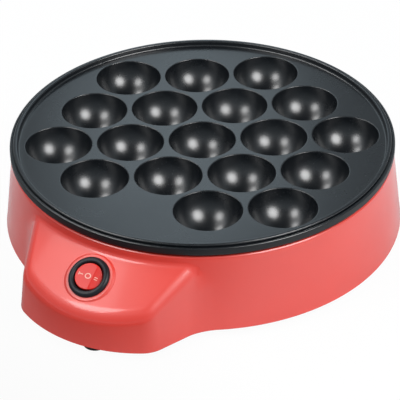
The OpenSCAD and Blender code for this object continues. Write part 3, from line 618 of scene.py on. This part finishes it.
def round_or(a, b, radius):
    """Two fields together, with a hollow fillet."""
    past = np.hypot(np.maximum(radius - a, 0), np.maximum(radius - b, 0))
    return np.maximum(np.minimum(a, b), radius) - past


def smooth(t):
    """Soft step from 0 to 1."""
    return t * t * (3 - 2 * t)


def box_plan(x, y):
    """Distance in plan from the control box's outline at its lower edge."""
    x = np.abs(x)
    inner = BOX_FRONT_R - BOX_CORNER_R
    span = np.maximum(np.hypot(x, y - FRONT_C[1]), 1e-9)
    disc = span - inner
    side = x * SIDE_N[0] + y * SIDE_N[1] - (BOX_SIDE - BOX_CORNER_R)
    near_x = x * inner / span
    near_y = FRONT_C[1] + (y - FRONT_C[1]) * inner / span
    disc_ok = near_x * SIDE_N[0] + near_y * SIDE_N[1] <= BOX_SIDE - BOX_CORNER_R
    foot_x = x - side * SIDE_N[0]
    foot_y = y - side * SIDE_N[1]
    side_ok = np.hypot(foot_x, foot_y - FRONT_C[1]) <= inner
    corner = np.hypot(x - CORNER_C[0], y - CORNER_C[1])
    outside = np.where((disc > 0) & disc_ok, disc, np.where((side > 0) & side_ok, side, corner))
    return np.where((disc <= 0) & (side <= 0), np.maximum(disc, side), outside) - BOX_CORNER_R


def housing_field(p):
    x, y, z = p[..., 0], p[..., 1], p[..., 2]
    r = np.hypot(x, y)
    wall = (r - BASE_R + BODY_FLARE * (z - EDGE_Z) / WALL_H) * WALL_COS
    drafted = (box_plan(x, y) + (z - EDGE_Z) * math.tan(BOX_DRAFT)) * math.cos(BOX_DRAFT)
    crown = (z - slope_z(r)) * math.cos(BOX_SLOPE)
    box = round_and(drafted, crown, EDGE_SOFT)
    depth = np.clip((slope_z(r) - z) / JUNCTION_FADE, 0, 1)
    blend = JUNCTION_TOP + (JUNCTION_R - JUNCTION_TOP) * smooth(depth)
    return round_and(round_or(wall, box, blend), z - TOP_Z, TOP_ROUND)


def surface_from(origin, heading, inset=0.0):
    """Where rays that start inside the housing's form leave it."""
    gone = np.zeros(origin.shape[:-1])
    for _ in range(RAY_STEPS):
        depth = -(housing_field(origin + heading * gone[..., None]) + inset)
        gone += np.clip(depth, RAY_BACK, RAY_AHEAD) * RAY_SHARE
    return origin + heading * gone[..., None]


def unit(v):
    return v / np.linalg.norm(v, axis=-1, keepdims=True)


def plan_stations():
    """Right half of the plan outline as places, outward normals and a share of round wall from 0 to 1."""
    places, normals, walls = [], [], []

    def add(place, normal, wall):
        places.append(place)
        normals.append(normal)
        walls.append(wall)

    for k in range(FRONT_STEPS):
        n = polar(1, -math.pi / 2 + (CORNER_A + math.pi / 2) * k / FRONT_STEPS)
        add(FRONT_C + BOX_FRONT_R * n, n, 0)
    for k in range(CORNER_STEPS):
        n = polar(1, CORNER_A + (-BOX_FLARE - CORNER_A) * k / CORNER_STEPS)
        add(CORNER_C + BOX_CORNER_R * n, n, 0)
    across = BOX_SIDE + JUNCTION_R
    hollow = across * SIDE_N - math.sqrt((BASE_R + JUNCTION_R) ** 2 - across ** 2) * SIDE_D
    start = CORNER_C + BOX_CORNER_R * SIDE_N
    end = hollow - JUNCTION_R * SIDE_N
    for k in range(SIDE_STEPS):
        add(start + (end - start) * k / SIDE_STEPS, SIDE_N, 0)
    first = math.pi - BOX_FLARE
    last = math.atan2(-hollow[1], -hollow[0])
    for k in range(HOLLOW_STEPS):
        n = polar(1, first + (last - first) * k / HOLLOW_STEPS)
        add(hollow + JUNCTION_R * n, -n, smooth(k / HOLLOW_STEPS))
    turn = math.atan2(hollow[1], hollow[0])
    for k in range(WALL_STEPS + 1):
        n = polar(1, turn + (math.pi / 2 - turn) * k / WALL_STEPS)
        add(BASE_R * n, n, 1)
    return np.array(places), np.array(normals), np.array(walls, float)


def level(plan, z):
    """Points at plan places and heights."""
    heights = np.broadcast_to(np.asarray(z, float)[..., None], plan.shape[:-1] + (1,))
    return np.concatenate([plan, heights], -1)


def housing_rows(inset, wall_n, edge_n, slope_n):
    """Rows of surface points on the right half, from the lower edge to near the top.

    Rays go out through the box's walls, round its upper edge and up through its slope. At stations on
    the round wall all go straight out. Each station's angle and share of round wall come with the rows.
    """
    places, normals, walls = plan_stations()
    count = len(places)
    radial = unit(places)
    flat = level(normals, np.zeros(count))
    reach = np.linalg.norm(places, axis=1)
    crown = slope_z(reach - CROWN_IN) - EDGE_SOFT - CROWN_GAP
    behind = places - BOX_RAY_DEPTH * normals
    origins = [level(behind, EDGE_Z + (crown - EDGE_Z) * t) for t in np.linspace(0, 1, wall_n)]
    headings = [flat] * wall_n
    upward = level(radial * math.sin(BOX_SLOPE), np.full(count, math.cos(BOX_SLOPE)))
    pivot = level(places - EDGE_RAY_DEPTH * normals, crown)
    for t in np.linspace(0, 1, edge_n + 1)[1:]:
        origins.append(pivot)
        headings.append(unit(np.cos(t * math.pi / 2) * flat + np.sin(t * math.pi / 2) * upward))
    last = surface_from(pivot, upward, inset)[:, :2]
    length = np.concatenate([[0], np.cumsum(np.linalg.norm(np.diff(places, axis=0), axis=1))])
    own = np.arctan2(places[:, 1], places[:, 0])
    first_wall = int(np.argmax(walls >= 1))
    even = own[0] + (own[first_wall] - own[0]) * np.minimum(length / length[first_wall], 1)
    angle = np.where(walls >= 1, own, OWN_SHARE * own + (1 - OWN_SHARE) * even)
    target = SLOPE_END_R * np.stack([np.cos(angle), np.sin(angle)], -1)
    for t in np.linspace(0, 1, slope_n + 1)[1:]:
        spot = last + (target - last) * t
        origins.append(level(spot, slope_z(np.linalg.norm(spot, axis=1)) - SLOPE_RAY_DEPTH))
        headings.append(np.broadcast_to(UP, flat.shape))
    total = len(origins)
    behind = places - WALL_RAY_DEPTH * normals
    heights = [EDGE_Z + (WALL_ROW_TOP - EDGE_Z) * k / (total - 1) for k in range(total)]
    sides = np.array([level(behind, np.full(count, z)) for z in heights])
    share = walls[None, :, None]
    starts = (1 - share) * np.array(origins) + share * sides
    aims = unit((1 - share) * np.array(headings) + share * flat[None])
    return surface_from(starts, aims, inset), angle, walls


def ring(angle, r, z):
    return np.stack([r * np.cos(angle), r * np.sin(angle), np.broadcast_to(z, angle.shape)], -1)


def housing_mesh():
    """Closed shell: rows up the outside, over the top, down the opening and back along the inside."""
    outer, angle, walls = housing_rows(0.0, wall_n=18, edge_n=22, slope_n=30)
    inner, _, _ = housing_rows(WALL_T, wall_n=6, edge_n=5, slope_n=8)
    rows = [outer[0] - level(LOWER_BREAK * unit(outer[0][:, :2]), np.zeros(len(angle)))]
    rows[0][:, 2] = EDGE_Z
    outer[0][:, 2] += LOWER_BREAK
    rows += list(outer)
    hub = ring(angle, HUB_R, HUB_Z)
    for lift in np.radians(TOP_LIFTS):
        rows.append(surface_from(hub, ring(angle, np.cos(lift), np.sin(lift))))
    for r, z in ((TOP_FLAT_R, TOP_Z), (OPENING_R + 0.4, TOP_Z), (OPENING_R + 0.1, TOP_Z - 0.12),
                 (OPENING_R, TOP_Z - 0.4), (OPENING_R, TOP_Z - WALL_T)):
        rows.append(ring(angle, r, z))
    for box_r, wall_r in INNER_TOP_R:
        start = ring(angle, box_r + (wall_r - box_r) * walls, INNER_START_Z)
        rows.append(surface_from(start, np.broadcast_to(UP, start.shape), WALL_T))
    rows += list(inner[::-1])
    grid = np.array(rows)
    mirrored = grid[:, -2:0:-1] * np.array([-1.0, 1.0, 1.0])
    grid = np.concatenate([grid, mirrored], 1)
    return mesh_of("housing_shell", grid.reshape(-1, 3), grid_faces(*grid.shape[:2]), AXIS)


PAD_Z = float(slope_z(SWITCH_Y)) + PAD_H * math.cos(BOX_SLOPE)
PAD_Y = SWITCH_Y + PAD_H * math.sin(BOX_SLOPE)
PAD_PLACE = Matrix.Translation((0, (AXIS_Y - PAD_Y) * MM, PAD_Z * MM))
ON_SLOPE = PAD_PLACE @ Matrix.Rotation(BOX_SLOPE, 4, "X")
PIVOT = Matrix.Translation((0, 0, PIVOT_Z * MM))
ROCKER_TURN = ON_SLOPE @ PIVOT @ Matrix.Rotation(ROCKER_REST, 4, "Y") @ PIVOT.inverted()


def lathe_mesh(name, profile, count, turn=None):
    return mesh_of(name, *lathe(profile, count), turn)


def notch_mesh():
    """Upright slot with a round top, through the wall at the back."""
    half = GLAND_NECK_R + HOLE_GAP
    bottom = EDGE_Z - 2
    arch = [(half * math.cos(a), GLAND_Z + half * math.sin(a)) for a in np.linspace(math.pi, 0, 25)]
    outline = [(-half, bottom), *arch, (half, bottom)]
    count = len(outline)
    points = [(x, y, z) for y in NOTCH_SPAN for x, z in outline]
    faces = [list(range(count)), list(range(2 * count - 1, count - 1, -1))]
    faces += [[k, (k + 1) % count, count + (k + 1) % count, count + k] for k in range(count)]
    return mesh_of("notch", points, faces, AXIS)


def make_housing():
    pad_r = PAD_D / 2
    foot_r = pad_r + PAD_SPREAD
    pad = lathe_mesh("pad", rounded([(0, PAD_ROOT, 0), (foot_r, PAD_ROOT, 0), (foot_r, PAD_FOOT, 0),
        (pad_r - PAD_INSET, 0, PAD_ROUND), (0, 0, 0)]), 128, ON_SLOPE)
    shell = cut(housing_mesh(), [pad], "UNION")
    hole_r = BARREL_R + HOLE_GAP
    low, high = HOLE_SPAN
    hole = lathe_mesh("hole", [(0, low), (hole_r, low), (hole_r, high), (0, high)], 96, ON_SLOPE)
    shell = cut(shell, [hole, notch_mesh()])
    piece = show("housing_shell", shell, "red_plastic", "root", angle=24)
    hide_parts("housing")
    top = FLOOR_Z + BOSS_H
    boss = lathe_mesh("boss", rounded([(BOSS_BORE_R, FLOOR_Z, 0), (BOSS_R, FLOOR_Z, 0.3),
        (BOSS_R, top, 0), (BOSS_BORE_R, top, 0), (BOSS_BORE_R, FLOOR_Z, 0)]), 32)
    bosses = on_places(boss, cover_screw_places(0), "red_plastic")
    show("housing_bosses", bosses, "red_plastic", "root")


def cover_screw_places(z):
    around = [(*polar(COVER_SCREW_R, math.radians(a)), z) for a in COVER_SCREW_ANGLES]
    places = around + [(side * BOX_SCREW[0], BOX_SCREW[1], z) for side in (-1, 1)]
    return [(x, y + AXIS_Y, h) for x, y, h in places]


# Cooking plate
CUP_SEGMENTS = 72
RIM_SEGMENTS = 256
MOUTH_ROUND = 0.5
MOUTH_FLAT = 0.3
UNDER_R = 19.7
UNDER_T = 2.5
SHEET_R = 99.25
GROOVE_W = 0.75
GROOVE_D = 0.8
FLANK_W = 1
FLANK_GAP = 0.35


def cup_unit():
    """One cup with its rounded mouth, and the wall under it."""
    r = (CUP_D ** 2 / 4 + CUP_DEPTH ** 2) / (2 * CUP_DEPTH)
    lift = r - CUP_DEPTH
    seam = math.sqrt(r * r - (lift + MOUTH_ROUND) ** 2)
    lip = [(seam + MOUTH_ROUND + MOUTH_FLAT, 0.0)]
    lip += [(seam + MOUTH_ROUND * (1 - math.sin(a)), MOUTH_ROUND * (math.cos(a) - 1))
            for a in np.linspace(0, math.pi / 2, 7)]
    start = math.asin((lift + MOUTH_ROUND) / r)
    ball = [(r * math.cos(a), lift - r * math.sin(a)) for a in np.linspace(start, math.pi / 2, 30)[1:]]
    ball[-1] = (0.0, -CUP_DEPTH)
    deep = CUP_DEPTH + UNDER_T
    under = [(UNDER_R * math.cos(a), -DECK_T - (deep - DECK_T) * math.sin(a))
             for a in np.linspace(0, math.pi / 2, 16)]
    under[-1] = (0.0, -deep)
    parts = [lathe(lip + ball, CUP_SEGMENTS), lathe(under, CUP_SEGMENTS)]
    return mesh_of("cup", *joined(parts)), lip[0][0]


def cup_centres():
    found = []
    for i in range(-CUP_ROWS, CUP_ROWS + 1):
        for j in range(2 * CUP_ROWS + 1 - abs(i)):
            if i or j:
                x = i * CUP_PITCH * math.sqrt(3) / 2
                found.append((x, (j - CUP_ROWS + abs(i) / 2) * CUP_PITCH))
    c, s = math.cos(GRID_TURN), math.sin(GRID_TURN)
    return [(x * c - y * s, x * s + y * c) for x, y in found]


def sheet_with_holes(outer_r, hole_r, z):
    """Flat sheet out to a radius, with a round hole at every cup."""
    points, edges = [], []

    def add_circle(x, y, r, count, turn):
        start = len(points)
        for k in range(count):
            a = 2 * math.pi * k / count + turn
            points.append(Vector((x + r * math.cos(a), y + r * math.sin(a))))
            edges.append((start + k, start + (k + 1) % count))

    add_circle(0, 0, outer_r, RIM_SEGMENTS, 0)
    centres = np.array(cup_centres())
    for x, y in centres:
        add_circle(x, y, hole_r, CUP_SEGMENTS, GRID_TURN)
    inside_only, closeness = 1, 1e-6
    spots, _, faces, _, _, _ = delaunay_2d_cdt(points, edges, [], inside_only, closeness)
    flat = np.array([(p.x, p.y) for p in spots])
    chord_r = hole_r * 0.998
    kept = []
    for face in faces:
        middle = flat[list(face)].mean(0)
        if np.hypot(*(centres - middle).T).min() > chord_r:
            kept.append(list(face))
    return np.column_stack([flat, np.full(len(flat), z)]), kept


def make_plate():
    cup, mouth_r = cup_unit()
    cups = grown(CUP_FIELD, cup, Pitch=CUP_PITCH * MM, Rows=CUP_ROWS, Turn=(0.0, 0.0, GRID_TURN),
                 Centre=(0.0, 0.0, 0.0), Finish=FINISH["nonstick"])
    groove_r = LIP_OUT + GROOVE_W
    groove_z = FLANGE_H - GROOVE_D
    skirt_in = SKIRT_R - SKIRT_T
    rim = rounded([(SHEET_R, 0, 0), (LIP_IN, 0, 1.0), (LIP_IN, LIP_H, 0.8), (LIP_OUT, LIP_H, 0.7),
        (LIP_OUT, groove_z, 0.25), (groove_r, groove_z, 0.2), (groove_r, FLANGE_H, 0.3),
        (PLATE_R, FLANGE_H, 0.7), (PLATE_R, -RIM_DROP, 1.2), (SKIRT_R, -RIM_DROP, 0.3),
        (SKIRT_R, -SKIRT_H, 0.4), (skirt_in, -SKIRT_H, 0.4), (skirt_in, -DECK_T, 0)], 8)
    sheets = joined([lathe(rim, RIM_SEGMENTS), sheet_with_holes(SHEET_R, mouth_r, 0.0),
                     sheet_with_holes(skirt_in, UNDER_R, -DECK_T)])
    work = bmesh.new()
    work.from_mesh(mesh_of("sheets", *sheets))
    work.from_mesh(cups)
    bmesh.ops.remove_doubles(work, verts=work.verts, dist=CUP_WELD)
    bmesh.ops.recalc_face_normals(work, faces=work.faces)
    plate = bpy.data.meshes.new("plate")
    work.to_mesh(plate)
    work.free()
    plate.transform(Matrix.Translation(DECK_MIDDLE))
    piece = show("cup_plate", plate, "nonstick", "root", angle=50)
    dull_flank(plate)
    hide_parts("cooking_plate")


def dull_flank(plate):
    """Duller black on the rim's outer flank, below its upper edge."""
    plate.materials.append(FINISH["rim_black"])
    top = (DECK_Z + FLANGE_H - FLANK_GAP) * MM
    for face in plate.polygons:
        out = math.hypot(face.center.x, face.center.y - AXIS_Y * MM)
        if out > (PLATE_R - FLANK_W) * MM and face.center.z < top:
            face.material_index = 1


# Switch
BARREL_FLOOR = 1.6
FOLD_SOFT = 0.25
STEM_R = 2.2
STEM_BORE_R = 1.3
STEM_Z = -6.8
ROCKER_LOW = -2.5
ROCKER_MID = -0.8
INK_LIFT = 0.05
INK_SINK = -0.1
NOUGHT_X = -0.2
NOUGHT_IN = (1.2, 1.05)
NOUGHT_OUT = (1.75, 1.55)

# Bars of the other marks: place in x and y, size in x and y
MARK_BARS = ((-4.4, 0, 2.5, 0.5), (-5.5, 0, 0.45, 1.6), (4.3, 0.55, 1.7, 0.42), (4.3, -0.55, 1.7, 0.42))


def make_switch():
    deep = -BARREL_L
    floor = deep + BARREL_FLOOR
    body = lathe_mesh("switch", rounded([(0, floor, 0), (ROCKER_BORE, floor, 0.4),
        (ROCKER_BORE, BEZEL_H, 1.2), (BEZEL_R, BEZEL_H, 2.0), (BEZEL_R, 0, 0.2), (BARREL_R, 0, 0),
        (BARREL_R, deep, 0.6), (0, deep, 0)], 10), 128, ON_SLOPE)
    piece = show("switch_bezel", body, "switch_black", "root")
    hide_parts("switch_body")


def rocker_top(x):
    """Height of the rocker's face, which rises to a soft fold right of its middle and falls beyond it."""
    past = np.asarray(x) - ROCKER_FOLD
    rise = math.tan(ROCKER_LEFT)
    turn = (rise + math.tan(ROCKER_RIGHT)) / 2
    bend = turn * (past + np.sqrt(past * past + FOLD_SOFT * FOLD_SOFT))
    return ROCKER_TOP + rise * (past + ROCKER_FOLD) - bend


def make_rocker():
    count = 120
    edge = 0.55
    flat_r = ROCKER_R - edge
    radii = list(np.linspace(0, flat_r, 22))
    radii += [flat_r + edge * math.sin(a) for a in np.linspace(0, math.pi / 2, 8)[1:]]
    points = []
    for r in radii:
        sink = edge - math.sqrt(max(edge * edge - max(r - ROCKER_R + edge, 0) ** 2, 0))
        for k in range(count):
            x, y = polar(r, 2 * math.pi * k / count)
            points.append((x, y, rocker_top(x) - sink))
    under = ((ROCKER_R, ROCKER_MID), (ROCKER_R - 0.4, ROCKER_LOW), (STEM_R, ROCKER_LOW), (STEM_R, STEM_Z),
             (STEM_BORE_R, STEM_Z), (STEM_BORE_R, ROCKER_MID), (0.0, ROCKER_MID))
    for r, z in under:
        points += [(*polar(r, 2 * math.pi * k / count), z) for k in range(count)]
    faces = []
    for low in range(0, len(points) - count, count):
        for k in range(count):
            m = (k + 1) % count
            faces.append([low + k, low + m, low + count + m, low + count + k])
    mesh = mesh_of("rocker", points, faces, ROCKER_TURN)
    piece = show("rocker_cap", mesh, "switch_red", "rocker", angle=40)
    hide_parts("switch_rocker")


def mark_strip(outline_in, outline_out, closed):
    """Thin printed mark between two lines of plan points, laid on the rocker's face."""
    count = len(outline_in)
    points = []
    for lift in (INK_SINK, INK_LIFT):
        for line in (outline_in, outline_out):
            points += [(x, y, float(rocker_top(x)) + lift) for x, y in line]
    layers = [0, count, 3 * count, 2 * count]
    faces = []
    for a, b in zip(layers, layers[1:] + layers[:1]):
        for k in range(count if closed else count - 1):
            m = (k + 1) % count
            faces.append([a + k, a + m, b + m, b + k])
    if not closed:
        for k in (0, count - 1):
            faces.append([layer + k for layer in layers])
    return np.array(points), faces


def bar(x, y, long_x, long_y):
    xs = np.linspace(x - long_x / 2, x + long_x / 2, 9)
    return mark_strip([(a, y - long_y / 2) for a in xs], [(a, y + long_y / 2) for a in xs], False)


def make_marks():
    turns = np.linspace(0, 2 * math.pi, 48, endpoint=False)
    ovals = [[(a * math.cos(t) + NOUGHT_X, b * math.sin(t)) for t in turns]
             for a, b in (NOUGHT_IN, NOUGHT_OUT)]
    parts = [mark_strip(*ovals, True)] + [bar(*sizes) for sizes in MARK_BARS]
    mesh = mesh_of("marks", *joined(parts), ROCKER_TURN)
    show("rocker_marks", mesh, "pale_ink", "rocker")


# Underside and back
CORNERS = ((-1, -1), (1, -1), (1, 1), (-1, 1))


def make_feet():
    """Rubber feet with a hollow below and a barb through the cover above."""
    barb = FLOOR_Z + 0.1
    top = FLOOR_Z + 2.1
    foot = lathe_mesh("foot", rounded([(0, 0.5, 0), (3.0, 0.5, 0.3), (3.4, 0, 0.3), (FOOT_R, 0, 0.9),
        (FOOT_R - 0.4, COVER_Z, 0.3), (2.5, COVER_Z, 0), (2.5, barb, 0), (3.3, barb, 0.1),
        (1.3, top, 0), (0, top, 0)], 6), 64)
    places = [(FOOT_CIRCLE, AXIS_Y, 0), (0, AXIS_Y + FOOT_CIRCLE, 0), (-FOOT_CIRCLE, AXIS_Y, 0),
              (FRONT_FOOT[0], AXIS_Y + FRONT_FOOT[1], 0)]
    piece = show("rubber_feet", on_places(foot, places, "rubber"), "rubber", "root")
    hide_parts("feet")


def screw_unit():
    """Pan-head screw with a cross recess, head down."""
    head = rounded([(0, -2.4, 0), (2.2, -2.3, 1.6), (3.5, -1.0, 0.5), (3.5, 0, 0.2), (1.4, 0, 0),
        (1.4, 10.5, 0.3), (0.9, 11, 0), (0, 11, 0)], 5)
    faces = [[0, 1, 2, 3], [4, 5, 6, 7], [0, 1, 5, 4], [1, 2, 6, 5], [2, 3, 7, 6], [3, 0, 4, 7]]
    arms = []
    for a, b in ((1.7, 0.35), (0.35, 1.7)):
        points = [(x * a * taper, y * b * taper, z) for z, taper in ((-3.0, 1.0), (-0.9, 0.55))
                  for x, y in CORNERS]
        arms.append(mesh_of("arm", points, faces))
    return cut(lathe_mesh("screw", head, 48), arms)


def make_base():
    screws = on_places(screw_unit(), cover_screw_places(COVER_Z), "steel", turn=1.5)
    piece = show("cover_screws", screws, "steel", "root")
    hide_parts("base_screws")
    collars = grown(ROUND_ROW, collar_unit(), Count=VENT_COUNT, Radius=VENT_CIRCLE * MM,
                    Centre=(0.0, AXIS_Y * MM, 0.0), Finish=FINISH["black_plastic"])
    show("vent_collars", collars, "black_plastic", "root")


def collar_unit():
    """Low collar round a vent with round ends, on the underside of the cover."""
    root = COVER_Z + 0.3
    low = COVER_Z - COLLAR_H
    lines = []
    for grow, z in ((0.02, root), (0.02, low), (COLLAR_W * 0.35, low), (COLLAR_W, COVER_Z - 0.15),
                    (COLLAR_W, root)):
        r = VENT_R + grow
        lines.append([(side * VENT_HALF + r * math.cos(a), r * math.sin(a), z)
                      for side, turn in ((1, -math.pi / 2), (-1, math.pi / 2))
                      for a in np.linspace(turn, turn + math.pi, 13)])
    grid = np.array(lines)
    return mesh_of("collar", grid.reshape(-1, 3), grid_faces(*grid.shape[:2]))


def make_gland():
    low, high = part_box("cord_gland")
    start, end = low.y / MM, high.y / MM
    inside = start + GLAND_FLANGE
    outside = end - GLAND_FLANGE
    profile = rounded([(GLAND_BORE_R, start, 0.0), (GLAND_R, start, 0.5), (GLAND_R, inside, 0.4),
        (GLAND_NECK_R, inside, 0), (GLAND_NECK_R, outside, 0), (GLAND_R, outside, 0.3),
        (GLAND_R, end, 0.7), (GLAND_BORE_R, end, 0.5), (GLAND_BORE_R, start, 0.0)], 6)
    points, faces = lathe(profile, 64)
    lying = np.column_stack([points[:, 0], points[:, 2], GLAND_Z - points[:, 1]])
    piece = show("cord_grommet", mesh_of("gland", lying, faces), "rubber", "root")
    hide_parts("cord_gland")


def dress_solids():
    """Finishes of the pieces that keep their solids."""
    for row in frame["record"]["subparts"]:
        solid = frame["nodes"][row["node"]]
        solid.data.materials.clear()
        solid.data.materials.append(FINISH[row["material_slot"]])


# Stage. The floor's tone goes from dark in front to pale at the back, along a direction in plan: painted
# shade in front of the object and painted light behind it, which the object mirrors and takes as bounce
# light
FLOOR_HALF = 8
FLOOR_DROP = 0.0003
FLOOR_WAY = (0.35, 0.94, 0)
FLOOR_FRONT = -0.165
FLOOR_BACK = -0.05
FLOOR_PAINTED_SHADE = 0.12
FLOOR_PAINTED_LIGHT = 0.80
FLOOR_WHITE = 0.96

# Room. Its tones as mirrored rays see them, each with the height of the ray's direction
ROOM_LIGHT = 0.43
ROOM_COLOUR = (0.82, 0.93, 1.0, 1)
ROOM_TONES = ((0.0, 0.88), (0.22, 0.25), (0.50, 0.25), (0.58, 0.44), (0.66, 0.34), (0.80, 0.02))
WHITE = (1, 1, 1, 1)

# Lamps: place from the middle of the deck, width, length, the length's direction, watts, any colour
LAMPS = {
    "key_softbox": ((0.815, -0.145, 0.800), 0.65, 0.65, (0, 0, 1), 9.6),
    "side_softbox": ((-0.300, -0.620, 0.695), 0.42, 0.42, (0, 0, 1), 3.0),
    "top_softbox": ((-0.585, 0.050, 0.810), 0.32, 0.32, (0, 1, 0), 1.4),
    "strip_softbox": ((-0.490, -0.280, 0.770), 0.48, 0.80, (-0.294, 0.718, 0.091), 1.3),
    "back_card": ((-0.200, 0.314, 0.250), 0.20, 0.20, (0, 0, 1), 0.105, (0.74, 0.90, 1.0)),
}

# Camera, about the middle of the deck
CAMERA_AZIMUTH = math.radians(30.198)
CAMERA_LIFT = math.radians(34.502)
CAMERA_ROLL = math.radians(-1.1161)
CAMERA_LENS = 193.44
CAMERA_AWAY = 1.19676
CAMERA_LEFT = 0.001277
CAMERA_DOWN = 0.03363


def make_stage():
    """Paper floor, nearly white to the camera; to all else its colour is graded, painted shade in front
    and painted light at the back.
    """
    floor_mesh = bpy.data.meshes.new("floor")
    spots = [(x * FLOOR_HALF, y * FLOOR_HALF, -FLOOR_DROP) for x, y in CORNERS]
    floor_mesh.from_pydata(spots, [], [(0, 1, 2, 3)])
    floor = bpy.data.objects.new("floor", floor_mesh)
    scene.collection.objects.link(floor)
    paper = bpy.data.materials.new("paper")
    paper.use_nodes = True
    tree = paper.node_tree
    tree.nodes.clear()
    path = node(tree, "ShaderNodeLightPath")
    along = node(tree, "ShaderNodeVectorMath", {0: node(tree, "ShaderNodeTexCoord").outputs["Object"],
        1: FLOOR_WAY}, operation="DOT_PRODUCT")
    # Painted shade in front and painted light at the back, in the floor's colour for every ray but the
    # camera's
    painted_grade = node(tree, "ShaderNodeMapRange", {"Value": along.outputs["Value"], "From Min": FLOOR_FRONT,
        "From Max": FLOOR_BACK, "To Min": FLOOR_PAINTED_SHADE, "To Max": FLOOR_PAINTED_LIGHT})
    matt = node(tree, "ShaderNodeBsdfDiffuse", {"Color": painted_grade.outputs[0]})
    glow = node(tree, "ShaderNodeEmission", {"Color": WHITE, "Strength": 1.0})
    part = calc(tree, "MULTIPLY", path.outputs["Is Camera Ray"], FLOOR_WHITE)
    mixed = node(tree, "ShaderNodeMixShader", {0: part, 1: matt.outputs[0], 2: glow.outputs[0]})
    node(tree, "ShaderNodeOutputMaterial", {"Surface": mixed.outputs[0]})
    floor_mesh.materials.append(paper)


def make_world():
    """White to the camera. Mirrored rays see it fade to grey and then to a dark ceiling."""
    world = bpy.data.worlds.new("studio")
    world.use_nodes = True
    scene.world = world
    tree = world.node_tree
    tree.nodes.clear()
    path = node(tree, "ShaderNodeLightPath")
    way = node(tree, "ShaderNodeSeparateXYZ", {0: node(tree, "ShaderNodeTexCoord").outputs["Generated"]})
    walls = node(tree, "ShaderNodeValToRGB", {"Fac": way.outputs["Z"]})
    ramp = walls.color_ramp.elements
    while len(ramp) < len(ROOM_TONES):
        ramp.new(1.0)
    for stop, (height, tone) in zip(ramp, ROOM_TONES):
        stop.position = height
        stop.color = (tone, tone, tone, 1)
    mirrored = calc(tree, "MAXIMUM", path.outputs["Is Glossy Ray"], path.outputs["Is Transmission Ray"])
    room = node(tree, "ShaderNodeMapRange", {"Value": mirrored, "To Min": ROOM_LIGHT,
        "To Max": walls.outputs[0]})
    cool = node(tree, "ShaderNodeBackground", {"Color": ROOM_COLOUR, "Strength": room.outputs[0]})
    white = node(tree, "ShaderNodeBackground", {"Color": WHITE, "Strength": 1.0})
    mixed = node(tree, "ShaderNodeMixShader", {0: path.outputs["Is Camera Ray"], 1: cool.outputs[0],
        2: white.outputs[0]})
    node(tree, "ShaderNodeOutputWorld", {"Surface": mixed.outputs[0]})


def softbox(name, place, width, length, along, power, colour=(1, 1, 1)):
    """Oval lamp that faces the plate, with its long axis near a given direction."""
    lamp = bpy.data.lights.new(name, "AREA")
    lamp.shape = "ELLIPSE"
    lamp.size = width
    lamp.size_y = length
    lamp.energy = power
    lamp.color = colour
    holder = bpy.data.objects.new(name, lamp)
    scene.collection.objects.link(holder)
    back = Vector(place).normalized()
    right = Vector(along).cross(back).normalized()
    turn = Matrix((right, back.cross(right), back)).transposed().to_4x4()
    holder.matrix_world = Matrix.Translation(DECK_MIDDLE + Vector(place)) @ turn


def make_camera():
    c, s = math.cos(CAMERA_AZIMUTH), math.sin(CAMERA_AZIMUTH)
    out = math.cos(CAMERA_LIFT)
    back = Vector((s * out, -c * out, math.sin(CAMERA_LIFT)))
    level_right = Vector((c, s, 0))
    level_up = back.cross(level_right)
    right = math.cos(CAMERA_ROLL) * level_right + math.sin(CAMERA_ROLL) * level_up
    up = math.cos(CAMERA_ROLL) * level_up - math.sin(CAMERA_ROLL) * level_right
    lens = bpy.data.cameras.new("camera")
    lens.lens = CAMERA_LENS
    lens.sensor_width = 36
    lens.clip_end = 50
    camera = bpy.data.objects.new("camera", lens)
    scene.collection.objects.link(camera)
    place = DECK_MIDDLE + CAMERA_AWAY * back - CAMERA_LEFT * right - CAMERA_DOWN * up
    turn = Matrix((right, up, back)).transposed().to_4x4()
    camera.matrix_world = Matrix.Translation(place) @ turn
    scene.camera = camera


scene.view_settings.view_transform = "Standard"
make_camera()
make_stage()
make_world()
for name, look in LAMPS.items():
    softbox(name, *look)
make_housing()
make_plate()
make_switch()
make_rocker()
make_marks()
make_feet()
make_base()
make_gland()
dress_solids()
